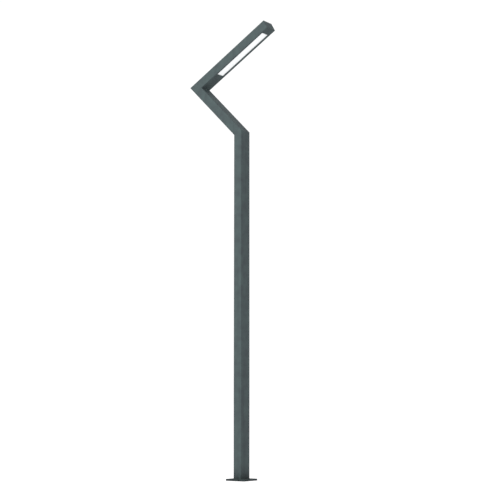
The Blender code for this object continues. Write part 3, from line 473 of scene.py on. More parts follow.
pole_low, pole_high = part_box("pole_shaft")
tube_half = pole_high.x
BEND = Vector((0, 0, pole_high.z - tube_half * tan(BEND_TURN / 2) + MITRE_GAP / 2))
pole = shape_tube("pole_tube", "pole_shaft", UP, (BEND, BEND_NORMAL))
leaf_low, leaf_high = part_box("access_door")
margin = Vector((TUBE_WALL, DOOR_MARGIN, DOOR_MARGIN))
carve(pole, add_slab("opening", leaf_low - margin, leaf_high + margin, 0, DOOR_CORNER))
settle_tube(pole, "pole_shaft", UP)

# ------------
# Foot weld. One bead of weld metal laid round the pole where it stands on the plate, rippled by the torch
# and coated over.

FOOT_BEAD = 0.0032
FOOT_OUT = 0.0006
RIPPLE = 0.0013
RIPPLE_DEPTH = 0.09
RIPPLE_DRIFT = 0.04
RIPPLE_WANDER = 0.37


def add_bead(name, low, high, corner, height, radius):
    """A rippled bead round a rounded rectangle at one height."""
    middle = (low + high) / 2
    place = (middle.x, middle.y, height)
    bead = add(name, bpy.ops.mesh.primitive_plane_add, size=1, location=place)
    bead.scale = (high.x - low.x, high.y - low.y, 1)
    fix_place(bead)
    edit(bead, "FACE", None, bpy.ops.mesh.bevel, offset=corner, segments=6, affect="VERTICES")
    edit(bead, "FACE", None, bpy.ops.mesh.delete, type="ONLY_FACE")
    for axis in (0, 1):
        cuts = round((high[axis] - low[axis] - 2 * corner) / RIPPLE) - 1
        edit(bead, "EDGE", runs_along(axis), bpy.ops.mesh.subdivide, number_cuts=cuts)
    only(bead)
    bpy.ops.object.convert(target="CURVE")
    bead = bpy.context.object
    bead.data.bevel_depth = radius
    bead.data.bevel_resolution = 3
    for index, point in enumerate(bead.data.splines[0].points):
        point.radius = 1 - RIPPLE_DEPTH * (index % 2) + RIPPLE_DRIFT * sin(index * RIPPLE_WANDER)
    only(bead)
    bpy.ops.object.convert(target="MESH")
    return bpy.context.object


out = Vector((FOOT_OUT, FOOT_OUT, 0))
foot = plate_high.z + FOOT_OUT
foot_weld = add_bead("foot_weld", pole_low - out, pole_high + out, TUBE_CORNER + FOOT_OUT, foot, FOOT_BEAD)
settle(foot_weld, POST_PAINT, "post_paint", angle=60)

# ------------
# Lower arm. A short length of the same tube, galvanised and coated with it, mitred at both ends and welded
# on so that it leans back from the pole's top.

UPPER_TILT = radians(30)

UPPER_DIR = Vector((cos(UPPER_TILT), 0, sin(UPPER_TILT)))
ELBOW_NORMAL = (LOWER_DIR + UPPER_DIR).normalized()
UPPER_TURN = laid(UPPER_DIR)
housing_low, housing_high = box_along("upper_arm", UPPER_TURN)
UPPER_UP = UPPER_TURN.col[2]
rise = (housing_low.z + housing_high.z) / 2 - UPPER_UP.dot(BEND)
ELBOW = BEND + LOWER_DIR * rise / UPPER_UP.dot(LOWER_DIR)
LOWER_MITRES = (BEND, -BEND_NORMAL), (ELBOW, ELBOW_NORMAL)

lower_arm = shape_tube("lower_arm_tube", "lower_arm", LOWER_DIR, *LOWER_MITRES)
settle_tube(lower_arm, "lower_arm", LOWER_DIR)

# ------------
# Mitre welds. A ground seam at the bend and at the elbow, hardly proud of the tubes, with a small fillet
# left in each inner corner.

SEAM_HALF = 0.0014
SEAM_PROUD = 0.00035
SEAM_DEPTH = 0.0045
SEAM_SUNK = 0.7


def add_seam(name, corner, normal, turn_angle, inner_side):
    """A rounded band of weld in the plane of a mitre."""
    reach = tube_half / cos(turn_angle / 2)
    sunk = SEAM_HALF / tan((pi - turn_angle) / 2)
    ends = sorted([inner_side * (reach + sunk * SEAM_SUNK), -inner_side * (reach - sunk)])
    half_y = pole_high.y + SEAM_PROUD
    low = Vector((-SEAM_HALF, -half_y, ends[0]))
    high = Vector((SEAM_HALF, half_y, ends[1]))
    seam = add_slab(name, low, high, 0, TUBE_CORNER)
    depth = Vector((-SEAM_DEPTH, SEAM_DEPTH, SEAM_DEPTH))
    carve(seam, add_block("bore", low + depth, high - depth))
    soften(seam, SEAM_PROUD)
    seam.matrix_world = Matrix.Translation(corner) @ laid(normal).to_4x4()
    settle(seam, POST_PAINT, "post_paint")


add_seam("bend_seam", BEND, BEND_NORMAL, BEND_TURN, 1)
add_seam("elbow_seam", ELBOW, ELBOW_NORMAL, pi - LOWER_TILT - UPPER_TILT, -1)

# ------------
# Upper arm. The lamp's housing: the same tube with a long window cut in its underside, its far end cut
# square for the end cap, and two countersunk holes in its top wall for the cap's screws.

WINDOW_CORNER = 0.002
FLANGE = 0.008
SURROUND_WALL = 0.002
FIT_GAP = 0.0003
SINK_WIDE = 0.0060
SINK_NARROW = 0.0028
SINK_DEPTH = 0.0034
CAP_SCREWS = ("end_cap_screw_near", "end_cap_screw_far")

surround_low, surround_high = box_along("panel_surround", UPPER_TURN)
upper_arm = shape_tube("upper_arm_tube", "upper_arm", UPPER_DIR, (ELBOW, -ELBOW_NORMAL))


def on(at, axis, *places):
    """Points at these places along X, Y or Z (0, 1 or 2), on the line through a point."""
    return [Vector([place if i == axis else at[i] for i in range(3)]) for place in places]


def weld(piece, *additions):
    return carve(piece, *additions, operation="UNION")


def rim(amount, bottom, top):
    """The corners of the surround's outline, moved in by an amount, between two heights."""
    low = Vector((surround_low.x + amount, surround_low.y + amount, bottom))
    high = Vector((surround_high.x - amount, surround_high.y - amount, top))
    return low, high


def add_countersink(screw_node):
    """A cutter for a countersunk hole in the top wall, over one of the cap's screws."""
    screw_low, screw_high = box_along(screw_node, UPPER_TURN)
    top = housing_high.z + FIT_GAP
    heights = top - SINK_DEPTH - TUBE_WALL * 3, top - SINK_DEPTH, top
    below, bottom, top = on((screw_low + screw_high) / 2, 2, *heights)
    sink = add_rod("sink", bottom, top, SINK_NARROW, tip=SINK_WIDE)
    return weld(sink, add_rod("shank", below, top, SINK_NARROW))


window = rim(FLANGE - SURROUND_WALL - FIT_GAP, housing_low.z - TUBE_WALL, housing_low.z + 2 * TUBE_WALL)
carve(upper_arm, lay(add_slab("window", *window, 2, WINDOW_CORNER, 4), UPPER_TURN))
for screw_name in CAP_SCREWS:
    carve(upper_arm, lay(add_countersink(screw_name), UPPER_TURN))
settle_tube(upper_arm, "upper_arm", UPPER_DIR)

# ------------
# End cap. Cast aluminium lid with a plug that fits the tube and two fingers that hold the light panel's
# end down, coated like the post.

CAP_THICK = 0.004
CAP_PLUG = 0.020
CAP_PLUG_WALL = 0.003
CAP_EDGE = 0.0007
FINGER_W = 0.012
FINGER_H = 0.020
FINGER_RISE = 0.026

cap_low, cap_high = box_along("end_cap", UPPER_TURN)
cap_back = cap_high.x - CAP_THICK
cap = add_slab("end_cap_cast", (cap_back, cap_low.y, cap_low.z), cap_high, 0, TUBE_CORNER)
soften(cap, CAP_EDGE, 3)
plug_gap = TUBE_WALL + FIT_GAP
plug_low = Vector((cap_back - CAP_PLUG, cap_low.y + plug_gap, cap_low.z + plug_gap))
plug_high = Vector((cap_back + FIT_GAP, cap_high.y - plug_gap, cap_high.z - plug_gap))
plug = add_slab("plug", plug_low, plug_high, 0, BORE_CORNER, 3)
wall = Vector((-CAP_PLUG, CAP_PLUG_WALL, CAP_PLUG_WALL))
carve(plug, add_block("hollow", plug_low + wall, (cap_back, *(plug_high - wall).yz)))
weld(cap, plug)
for side in (-1, 1):
    outer = side * (plug_high.y - CAP_PLUG_WALL * 2 - FINGER_W / 2)
    foot = cap_low.z + FINGER_RISE - FINGER_H / 2
    low = (cap_low.x, outer - FINGER_W / 2, foot)
    high = (cap_back + FIT_GAP, outer + FINGER_W / 2, foot + FINGER_H)
    weld(cap, add_slab("finger", low, high, 0, BORE_CORNER, 3))
for screw_name in CAP_SCREWS:
    carve(cap, add_countersink(screw_name))
settle(lay(cap, UPPER_TURN), POST_PAINT, "post_paint", "end_cap")

# ------------
# Cap screws. Two countersunk screws of zinc-plated steel with a hexagon socket, which hold the end cap's
# plug to the arm's top wall and lie flush with it.

SCREW_METAL = (0.60, 0.61, 0.62, 1)
SCREW_EDGE = 0.00018
PAN_EDGE_SHARE = 0.4
SHANK_START_SHARE = 0.8
SOCKET_SHARE = 0.55
SOCKET_DEPTH = 0.00128
CAP_SCREW_SHANK = 0.00252
CAP_SCREW_HEAD = 0.0028

SCREW_STEEL = metal(
    "zinc_plated_steel", SCREW_METAL, 0.3, 0.95,
    Crystals=900.0, Crystal_Amount=0.15, Shine=0.24, Scratches=0.05,
)


def settle_steel(piece, *nodes, body="post"):
    """Settles a small zinc-plated part."""
    settle(piece, SCREW_STEEL, "zinc_steel", *nodes, body=body)


def add_screw(node, direction, shank, head, sunk=False, turn=Matrix.Identity(3), body="post"):
    """A screw in its CAD piece's place, with a hexagon socket in its pan or countersunk head."""
    low, high = box_along(node, turn)
    direction = Vector(direction)
    middle = (low + high) / 2
    half = abs((high - low).dot(direction)) / 2
    top = middle - direction * half
    radius = max((high - low)[i] for i in range(3) if abs(direction[i]) < 0.5) / 2
    screw = add_rod(node + "_turned", top, top + direction * head, radius, tip=shank if sunk else None)
    soften(screw, SCREW_EDGE if sunk else head * PAN_EDGE_SHARE, 3)
    shank_top = top + direction * head * SHANK_START_SHARE
    weld(screw, add_rod("shank", shank_top, middle + direction * half, shank, 24))
    socket_ends = top - direction * head, top + direction * SOCKET_DEPTH
    carve(screw, add_rod("socket", *socket_ends, radius * SOCKET_SHARE, 6))
    settle_steel(lay(screw, turn), node, body=body)


for screw_name in CAP_SCREWS:
    add_screw(screw_name, (0, 0, -1), CAP_SCREW_SHANK, CAP_SCREW_HEAD, sunk=True, turn=UPPER_TURN)

# ------------
# Panel surround. Folded steel frame round the light panel: a low wall that lines the window's edges and a
# flange on which the panel lies, riveted inside the arm and coated with it.

THIN_EDGE = 0.0004
RECESS_CORNER = 0.0010

bottom = surround_low.z
top = surround_high.z
liner = rim(FLANGE - SURROUND_WALL, bottom, top)
surround = add_slab("panel_surround_folded", *liner, 2, WINDOW_CORNER - FIT_GAP, 4)
weld(surround, add_slab("flange", *rim(0, top - SURROUND_WALL, top), 2, WINDOW_CORNER, 4))
recess = rim(FLANGE, bottom - TUBE_WALL, top + TUBE_WALL)
carve(surround, add_slab("recess", *recess, 2, RECESS_CORNER, 4))
soften(surround, THIN_EDGE)
settle(lay(surround, UPPER_TURN), POST_PAINT, "post_paint", "panel_surround")

# ------------
# Light panel. A flat sheet of opal acrylic on a rubber gasket, lit from behind, on which three rows of
# light points show faintly.

PANEL_EDGE = 0.0006
GASKET_MARGIN = 0.001
LED_ROWS = 3
LED_ROW_PITCH = 0.018
LED_PITCH = 0.0195
DOT_CORE = 0.0022
DOT_RIM = 0.0050
GLOW = 0.56
OPAL_WHITE = (0.86, 0.885, 0.885)
OPAL_DIM = (0.66, 0.70, 0.71, 1)
GLOW_WHITE = (0.97, 1.0, 1.0, 1)
GLOW_DIM = (0.68, 0.73, 0.745, 1)
BLACK_RUBBER = (0.020, 0.020, 0.021, 1)


def arm_space(tree, middle):
    """Coordinates along the upper arm, across it and away from it, from a point on it."""
    turned = {"Vector": object_space(tree), "Rotation": (0, UPPER_TILT, 0)}
    straight = add_node(tree, "ShaderNodeMapping", turned).outputs["Vector"]
    moved = {0: straight, 1: middle}
    return add_node(tree, "ShaderNodeVectorMath", moved, operation="SUBTRACT").outputs["Vector"]


def light_points(tree, where):
    """A mask with a soft dot at each light point of the three rows."""
    axes = add_node(tree, "ShaderNodeSeparateXYZ", {"Vector": where}).outputs
    along = sum_up(tree, "PINGPONG", axes["X"], LED_PITCH / 2)
    row = sum_up(tree, "PINGPONG", sum_up(tree, "ADD", axes["Y"], LED_ROW_PITCH / 2), LED_ROW_PITCH / 2)
    off_row = sum_up(tree, "SUBTRACT", LED_ROW_PITCH / 2, row)
    squares = sum_up(tree, "MULTIPLY_ADD", along, along, sum_up(tree, "MULTIPLY", off_row, off_row))
    dots = ramp(tree, sum_up(tree, "SQRT", squares), DOT_CORE, DOT_RIM, 1.0, 0.0)
    half_rows = LED_ROW_PITCH * LED_ROWS / 2
    inside = sum_up(tree, "LESS_THAN", sum_up(tree, "ABSOLUTE", axes["Y"]), half_rows)
    return sum_up(tree, "MULTIPLY", dots, inside)


def opal_acrylic(middle):
    """Opal sheet that glows, a little dimmer at each light point."""
    material, tree, shader = new_material("opal_acrylic", OPAL_WHITE, 0.32)
    where = arm_space(tree, middle)
    haze = ramp(tree, noise(tree, where, 26, 4), 0.35, 0.65, 0.0, 0.10)
    shade = sum_up(tree, "MAXIMUM", sum_up(tree, "MULTIPLY", light_points(tree, where), 0.55), haze)
    fed = {
        "Base Color": mixed(tree, shade, (*OPAL_WHITE, 1), OPAL_DIM),
        "Emission Color": mixed(tree, shade, GLOW_WHITE, GLOW_DIM),
        "Roughness": ramp(tree, noise(tree, where, 60, 3), 0.3, 0.7, 0.26, 0.40),
        "Normal": raised(tree, 0.06, 0.0003, noise(tree, where, 90, 2)),
    }
    for name, value in fed.items():
        tree.links.new(value, shader.inputs[name])
    shader.inputs["Emission Strength"].default_value = GLOW
    return material


def plastic_group():
    """Moulded plastic or rubber: a fine sparked grain, faint clouds and a little dust."""
    group, given, result = new_group(
        "moulded_grain",
        Plastic=(0.05, 0.05, 0.05, 1), Fade=(0.09, 0.09, 0.09, 1), Shine=0.45,
        Grain_Scale=1500.0, Grain=0.12,
    )
    where = object_space(group)
    cloud = ramp(group, noise(group, where, 45, 5), 0.35, 0.75, 0.0, 0.6)
    speck = ramp(group, noise(group, where, 700, 1), 0.62, 0.72, 0.0, 0.25)
    faded = sum_up(group, "MAXIMUM", cloud, speck)
    group.links.new(mixed(group, faded, given["Plastic"], given["Fade"]), result["Colour"])
    group.links.new(sum_up(group, "MULTIPLY_ADD", cloud, 0.18, given["Shine"]), result["Roughness"])
    spots = {"Vector": where, "Scale": given["Grain Scale"], "Detail": 1.0}
    grain = add_node(group, "ShaderNodeTexNoise", spots).outputs["Fac"]
    group.links.new(raised(group, given["Grain"], 0.0002, grain), result["Normal"])
    return group


MOULDED = plastic_group()


def moulded(name, colour, roughness, fade, shine, **values):
    """A plastic or rubber of this colour, which fades to another."""
    coat = {"Plastic": (*colour[:3], 1), "Fade": (*fade, 1), "Shine": shine, **values}
    return coated(name, MOULDED, colour, roughness, **coat)


RUBBER = moulded("epdm_rubber", BLACK_RUBBER, 0.7, (0.05, 0.05, 0.05), 0.68)


def add_ring(name, low, high, axis, border, corner, inner_corner):
    """A flat frame of this border's width, lying across one axis."""
    inwards = Vector([-border if i == axis else border for i in range(3)])
    hole = add_slab("hole", low + inwards, high - inwards, axis, inner_corner, 5)
    return carve(add_slab(name, low, high, axis, corner, 5), hole)


panel_low, panel_high = box_along("diffuser", UPPER_TURN)
panel = add_slab("diffuser_sheet", panel_low, panel_high, 2, WINDOW_CORNER, 4)
soften(panel, PANEL_EDGE, 3)
settle(lay(panel, UPPER_TURN), opal_acrylic((panel_low + panel_high) / 2), "opal", "diffuser")

gasket_box = box_along("diffuser_gasket", UPPER_TURN)
gasket_border = FLANGE - GASKET_MARGIN
gasket = add_ring("diffuser_gasket_cut", *gasket_box, 2, gasket_border, WINDOW_CORNER, RECESS_CORNER)
soften(gasket, THIN_EDGE)
settle(lay(gasket, UPPER_TURN), RUBBER, "gasket_rubber", "diffuser_gasket")

# ------------
# Heat sink. Die-cast aluminium tray over the panel, left bare, with cooling fins along its back. The light
# boards are screwed to it.

CAST_GREY = (0.55, 0.56, 0.57, 1)
SAME_PLACE = 0.00002


def refine(node, name, edge=0.0, flat=1.0):
    """A copy of a CAD piece's mesh, merged, with its flat faces made whole and its edges rounded."""
    piece = bpy.data.objects.new(name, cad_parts[node].data.copy())
    scene.collection.objects.link(piece)
    piece.data.materials.clear()
    edit(piece, "FACE", None, bpy.ops.mesh.remove_doubles, threshold=SAME_PLACE)
    edit(piece, "FACE", None, bpy.ops.mesh.dissolve_limited, angle_limit=radians(flat))
    return soften(piece, edge) if edge else piece


CAST_ALUMINIUM = metal(
    "cast_aluminium", CAST_GREY, 0.45, 0.9, Crystals=400.0, Crystal_Amount=0.2, Shine=0.42, Scratches=0.12
)
settle(refine("heat_sink", "heat_sink_cast", THIN_EDGE), CAST_ALUMINIUM, "aluminium", "heat_sink")

# ------------
# Light boards. Two aluminium-cored circuit boards under white lacquer, each with three rows of soldered
# light points and a plug-in terminal, screwed into the tray.

LED_HALF = 0.00175
LED_HIGH = 0.0007
LED_LENS = 0.0012
LED_DOME = 0.0003
LEDS_IN_ROW = 13
TERMINAL = Vector((0.008, 0.014, 0.0040))
TERMINAL_OUT = 0.44
TERMINAL_ASIDE = 1.3
LACQUER = (0.80, 0.81, 0.80, 1)
LED_WHITE = (0.72, 0.72, 0.70, 1)
PHOSPHOR_YELLOW = (0.86, 0.68, 0.10, 1)
BOARD_SCREW_SHANK = 0.0018
BOARD_SCREW_HEAD = 0.0015
DRILL_REACH = 0.05

BOARD_MATERIALS = [
    moulded("white_lacquer", LACQUER, 0.4, (0.70, 0.71, 0.68), 0.35),
    moulded("led_body", LED_WHITE, 0.4, (0.6, 0.6, 0.58), 0.3),
    moulded("led_phosphor", PHOSPHOR_YELLOW, 0.35, (0.80, 0.58, 0.08), 0.3),
]


def drill(piece, at, axis, radius, sides=24):
    """A hole through a piece along one axis."""
    ends = on(at, axis, at[axis] - DRILL_REACH, at[axis] + DRILL_REACH)
    return carve(piece, add_rod("drill", *ends, radius, sides))


def join(piece, *others):
    """Joins shapes as they are, each still its own closed shell."""
    only(piece)
    for other in others:
        other.select_set(True)
    bpy.ops.object.join()
    return piece


def repeat(piece, count, step, **settings):
    """Copies a shape along a row."""
    offset = {"use_relative_offset": False, "use_constant_offset": True, "constant_offset_displace": step}
    return modify(piece, "ARRAY", count=count, **offset, **settings)


def add_board(end):
    """One board with its lights, terminal and two screwed holes."""
    node = "led_board_" + end
    low, high = box_along(node, UPPER_TURN)
    middle = (low + high) / 2
    board = add_slab(node + "_fitted", low, high, 2, WINDOW_CORNER, 4)
    for screw in (f"board_screw_{end}_a", f"board_screw_{end}_b"):
        screw_low, screw_high = box_along(screw, UPPER_TURN)
        drill(board, (screw_low + screw_high) / 2, 2, BOARD_SCREW_SHANK + FIT_GAP / 2)
        add_screw(screw, (0, 0, 1), BOARD_SCREW_SHANK, BOARD_SCREW_HEAD, turn=UPPER_TURN)
    first = Vector((middle.x - LED_PITCH * (LEDS_IN_ROW - 1) / 2, -LED_ROW_PITCH, low.z))
    corner = Vector((LED_HALF, LED_HALF, 0))
    led = add_block("led", first - corner - UP * LED_HIGH, first + corner)
    soften(led, LED_HIGH / 4, 1)
    mark(led, 1)
    dome_ends = first - UP * (LED_HIGH + LED_DOME), first - UP * LED_HIGH / 2
    dome = add_rod("dome", *dome_ends, LED_LENS, 12)
    mark(dome, 2)
    weld(led, dome)
    repeat(led, LEDS_IN_ROW, (LED_PITCH, 0, 0))
    repeat(led, LED_ROWS, (0, LED_ROW_PITCH, 0))
    outwards = (high.x - low.x) * (-TERMINAL_OUT if end == "low" else TERMINAL_OUT)
    place = Vector((middle.x + outwards, middle.y + LED_ROW_PITCH * TERMINAL_ASIDE, low.z))
    half = Vector((TERMINAL.x, TERMINAL.y, 0)) / 2
    body = add_block("terminal", place - half - UP * TERMINAL.z, place + half)
    soften(body, THIN_EDGE)
    mark(body, 1)
    settle(lay(join(board, led, body), UPPER_TURN), BOARD_MATERIALS, "board_white", node)


add_board("low")
add_board("high")

# ------------
# Leaf springs. Arched strips of spring steel between the tray and the arm's top wall, which press the
# light panel down on its gasket.

SPRING_T = 0.0008
SPRING_STEPS = 36
SPRING_BLUE = (0.30, 0.32, 0.36, 1)
SPRING_FILM = (0.20, 0.20, 0.22, 1)

SPRING_STEEL = metal(
    "spring_steel", SPRING_BLUE, 0.3, 0.95, Film=SPRING_FILM, Crystals=30.0, Crystal_Amount=0.3, Shine=0.28
)


def add_leaf_spring(end):
    """A strip that rises from flat feet to its crown and down again."""
    node = "unit_spring_" + end
    low, high = box_along(node, UPPER_TURN)
    size = high - low
    grid = {"x_subdivisions": SPRING_STEPS, "y_subdivisions": 1, "size": 1}
    strip = add(node + "_bent", bpy.ops.mesh.primitive_grid_add, location=(low + high) / 2, **grid)
    strip.scale = (size.x, size.y, 1)
    fix_place(strip)
    for vertex in strip.data.vertices:
        share = (vertex.co.x - low.x) / size.x
        vertex.co.z = low.z + SPRING_T + (size.z - SPRING_T) * sin(pi * share) ** 2
    modify(strip, "SOLIDIFY", thickness=SPRING_T, offset=-1)
    soften(strip, SPRING_T / 4, angle=60)
    settle(lay(strip, UPPER_TURN), SPRING_STEEL, "spring_steel", node, angle=50)


add_leaf_spring("low")
add_leaf_spring("high")

# ------------
# Cable gland of the light panel. Moulded nylon: a hexagon screwed into the tray's end wall and a ribbed
# nose that grips the cable.

GLAND_BLACK = (0.030, 0.031, 0.033, 1)
GLAND_HEX = 0.008
GLAND_NOSE = 0.0055
GLAND_NUT = 0.004
GLAND_BORE = 0.0036
GLAND_EDGE = 0.0005
GLAND_OVERLAP = 0.001
RIB_RISE = 0.0003
RIB_INSET = 0.03
SLEEVE_START = 0.9
TAPER_LONG = 0.35
TAPER_WIDE = 0.9
TAPER_NARROW = 0.8

NYLON = moulded("black_nylon", GLAND_BLACK, 0.5, (0.06, 0.06, 0.062), 0.42)


def add_gland(node, axis, side, sizes, turn=Matrix.Identity(3)):
    """A gland with its nose towards one side of its CAD piece's box. Its sizes are the hexagon's radius
    and length, and the radii of nose and bore."""
    hexagon, nut_long, nose, cable = sizes
    low, high = box_along(node, turn)
    base, tip = on((low + high) / 2, axis, *(low[axis], high[axis])[::side])
    way = (tip - base).normalized()
    gland = add_rod(node + "_moulded", base, base + way * nut_long, hexagon, 6)
    soften(gland, GLAND_EDGE)
    taper = tip - way * nose * TAPER_LONG
    sleeve = add_rod("sleeve", base + way * nut_long * SLEEVE_START, taper, nose - RIB_RISE, 24)
    rib = {"thickness": nose * RIB_INSET, "depth": RIB_RISE, "use_individual": True}
    sides = [side.index for side in sleeve.data.polygons if abs(side.normal.dot(way)) < 0.5]
    edit(sleeve, "FACE", lambda face: face.index in sides[1::2], bpy.ops.mesh.inset, **rib)
    start = taper - way * GLAND_OVERLAP
    weld(gland, sleeve, add_rod("taper", start, tip, nose * TAPER_WIDE, tip=nose * TAPER_NARROW))
    carve(gland, add_rod("bore", tip - way * nose, tip + way * nose, cable))
    settle(lay(gland, turn), NYLON, "dark_plastic", node)


add_gland("unit_gland", 0, -1, (GLAND_HEX, GLAND_NUT, GLAND_NOSE, GLAND_BORE), UPPER_TURN)

# ------------
# Door frame. A steel ledge welded inside the pole round the door's opening, with a strip of foam rubber
# on which the door closes.

LEDGE_CORNER = 0.004
LEDGE_BORDER = 0.017
SEAL_BORDER = 0.003
SEAL_CORNER = 0.007
SEAL_EDGE = 0.00036

ledge = add_ring("door_ledge", *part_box("door_frame"), 0, LEDGE_BORDER, LEDGE_CORNER, LEDGE_CORNER)
settle(soften(ledge, THIN_EDGE), POST_PAINT, "post_paint", "door_frame")
seal = add_ring("door_seal", *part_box("door_gasket"), 0, SEAL_BORDER, SEAL_CORNER, LEDGE_CORNER)
settle(soften(seal, SEAL_EDGE), RUBBER, "gasket_rubber", "door_gasket")

# ------------
# Access door. A flat steel leaf cut from the same wall, with eased edges and a round hole for the lock,
# coated like the post.

LEAF_EDGE = 0.0005
LOCK_HOLE = 0.0091

lock_low, lock_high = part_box("lock_housing")
lock_at = (lock_low + lock_high) / 2
leaf = add_slab("door_leaf", leaf_low, leaf_high, 0, DOOR_CORNER - DOOR_MARGIN)
drill(leaf, lock_at, 0, LOCK_HOLE, 48)
settle(soften(leaf, LEAF_EDGE), POST_PAINT, "post_paint", "access_door", body="door")

# ------------
# Hinges. Two knuckle hinges of zinc-plated steel: a narrow leaf welded to the pole, a wide leaf riveted to
# the door, and a pin with a pressed head.

KNUCKLE = 0.0045
KNUCKLE_SHARE = 0.3
KNUCKLE_PLAY = 0.0004
KNUCKLE_INSET = 0.00005
NOTCH_SHARE = 1.4
PIN = 0.002
PIN_HEAD = 0.0032
ROUND_EDGE = 0.0006
HINGE_LEAF = 0.002
HINGE_CORNER = 0.001
RIVET = 0.0026
RIVET_HIGH = 0.0009
RIVET_IN = 0.0065
RIVET_UP = 0.00845
HINGE_BEAD = 0.0008
BEAD_INSET = 0.0042
BEAD_SUNK = 0.0001
BEAD_EDGE = 0.00032
PIN_EDGE = 0.0004


def add_rivet(centre):
    """A domed head on a face that looks towards -X."""
    ball = {"segments": 24, "ring_count": 12, "radius": RIVET}
    rivet = add("rivet", bpy.ops.mesh.primitive_uv_sphere_add, location=centre, **ball)
    rivet.scale = (RIVET_HIGH / RIVET, 1, 1)
    return fix_place(rivet)


def add_hinge(level):
    """Both leaves and the pin of one hinge, in their CAD pieces' places."""
    pole_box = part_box("hinge_leaf_pole_" + level)
    door_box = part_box("hinge_leaf_door_" + level)
    pin_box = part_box("hinge_pin_" + level)
    centre = (pin_box[0] + pin_box[1]) / 2
    low = min(door_box[0].z, pole_box[0].z)
    high = max(door_box[1].z, pole_box[1].z)
    share = (high - low) * KNUCKLE_SHARE
    face = pole_box[1].x

    def add_leaf(name, left, right, side, notches, knuckles):
        """A plate with its own knuckles, cleared where the other leaf's knuckles turn."""
        leaf = add_slab(name, (face - HINGE_LEAF, left, low), (face, right, high), 0, HINGE_CORNER, 3)
        reach = side * (KNUCKLE + KNUCKLE_PLAY), -side * KNUCKLE * NOTCH_SHARE
        near, far = sorted(centre.y + offset for offset in reach)
        for bottom, top in notches:
            start = (centre.x - KNUCKLE * NOTCH_SHARE, near, bottom)
            carve(leaf, add_block("notch", start, (face + THIN_EDGE, far, top)))
        soften(leaf, THIN_EDGE)
        for bottom, top in knuckles:
            ends = on(centre, 2, bottom + KNUCKLE_INSET, top - KNUCKLE_INSET)
            weld(leaf, soften(add_rod("knuckle", *ends, KNUCKLE), THIN_EDGE))
        return drill(leaf, centre, 2, PIN + FIT_GAP)

    gap = low + share - KNUCKLE_PLAY, high - share + KNUCKLE_PLAY
    knuckles = (low, gap[0]), (gap[1], high)
    pole_leaf = add_leaf(f"hinge_{level}_pole_side", centre.y, pole_box[1].y, 1, [gap], knuckles)
    edge = Vector((face - BEAD_SUNK, pole_box[1].y - BEAD_SUNK, 0))
    bead = add_rod("bead", *on(edge, 2, low + BEAD_INSET, high - BEAD_INSET), HINGE_BEAD, 20)
    settle_steel(join(pole_leaf, soften(bead, BEAD_EDGE, angle=60)), "hinge_leaf_pole_" + level)

    notches = (low - share, low + share), (high - share, high + share)
    middle = [(low + share, high - share)]
    door_leaf = add_leaf(f"hinge_{level}_door_side", door_box[0].y, centre.y, -1, notches, middle)
    for height in (low + RIVET_UP, high - RIVET_UP):
        weld(door_leaf, add_rivet((face - HINGE_LEAF, door_box[0].y + RIVET_IN, height)))
    settle_steel(door_leaf, "hinge_leaf_door_" + level, body="door")

    bottom, neck, top = on(centre, 2, pin_box[0].z, high + FIT_GAP, pin_box[1].z)
    pin = soften(add_rod(f"hinge_{level}_pin", bottom, neck, PIN, 24), PIN_EDGE)
    weld(pin, soften(add_rod("head", neck, top, PIN_HEAD, 32), ROUND_EDGE, 3))
    settle_steel(pin, "hinge_pin_" + level)


add_hinge("lower")
add_hinge("upper")

# ------------
# Quarter-turn lock. Die-cast zinc housing held by a flat nut, a plug with a triangular key socket, and a
# steel cam that turns behind the door frame.

FLANGE_R = 0.0125
FLANGE_T = 0.002
BARREL_R = 0.0088
PLUG_BORE = 0.0058
KEY_R = 0.0042
KEY_DEPTH = 0.0047
TAPPING_DEPTH = 0.0035
CUT_OVER = 0.002
FINE_EDGE = 0.0002
CAM_CORNER = 0.0045
CAM_HOLE = 0.0023
CAM_SCREW_SHANK = 0.0020
CAM_SCREW_HEAD = 0.0022
THREAD_DEPTH = 0.0003
THREAD_PITCH = 0.001
NUT_ROUND = 0.995
NUT_CHAMFER = 0.16


def add_thread(name, start, end, radius, sides=24):
    """A rod with the grooves of a fine thread along it."""
    way = (end - start).normalized()
    turns = max(int((end - start).length / THREAD_PITCH), 1)
    step = (end - start) / turns
    root = radius - THREAD_DEPTH
    thread = add_rod(name, start, start + step / 2, root, sides, radius)
    join(thread, add_rod("half", start + step / 2, start + step, radius, sides, root))
    edit(thread, "FACE", lambda face: abs(face.normal.dot(way)) > 0.99, bpy.ops.mesh.delete, type="FACE")
    repeat(thread, turns, step, use_merge_vertices=True, merge_threshold=SAME_PLACE)
    edit(thread, "FACE", None, bpy.ops.mesh.remove_doubles, threshold=SAME_PLACE)
    return edit(thread, "EDGE", lambda edge: edge.is_boundary, bpy.ops.mesh.edge_face_add)


def box_ends(node, axis):
    """The middles of the two ends of a CAD piece's box along one axis, and its half width across."""
    low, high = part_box(node)
    half = max(high[i] - low[i] for i in range(3) if i != axis) / 2
    return *on((low + high) / 2, axis, low[axis], high[axis]), half


def add_nut(name, node, axis, bore):
    """A hexagon nut with chamfered corners, in its CAD piece's place."""
    start, end, corner = box_ends(node, axis)
    nut = add_rod(name, start, end, corner, 6)
    rounding = add_rod("rounding", start, end, corner * NUT_ROUND, 64)
    soften(rounding, (end - start).length * NUT_CHAMFER)
    carve(nut, rounding, operation="INTERSECT")
    return drill(nut, start, axis, bore, 40)


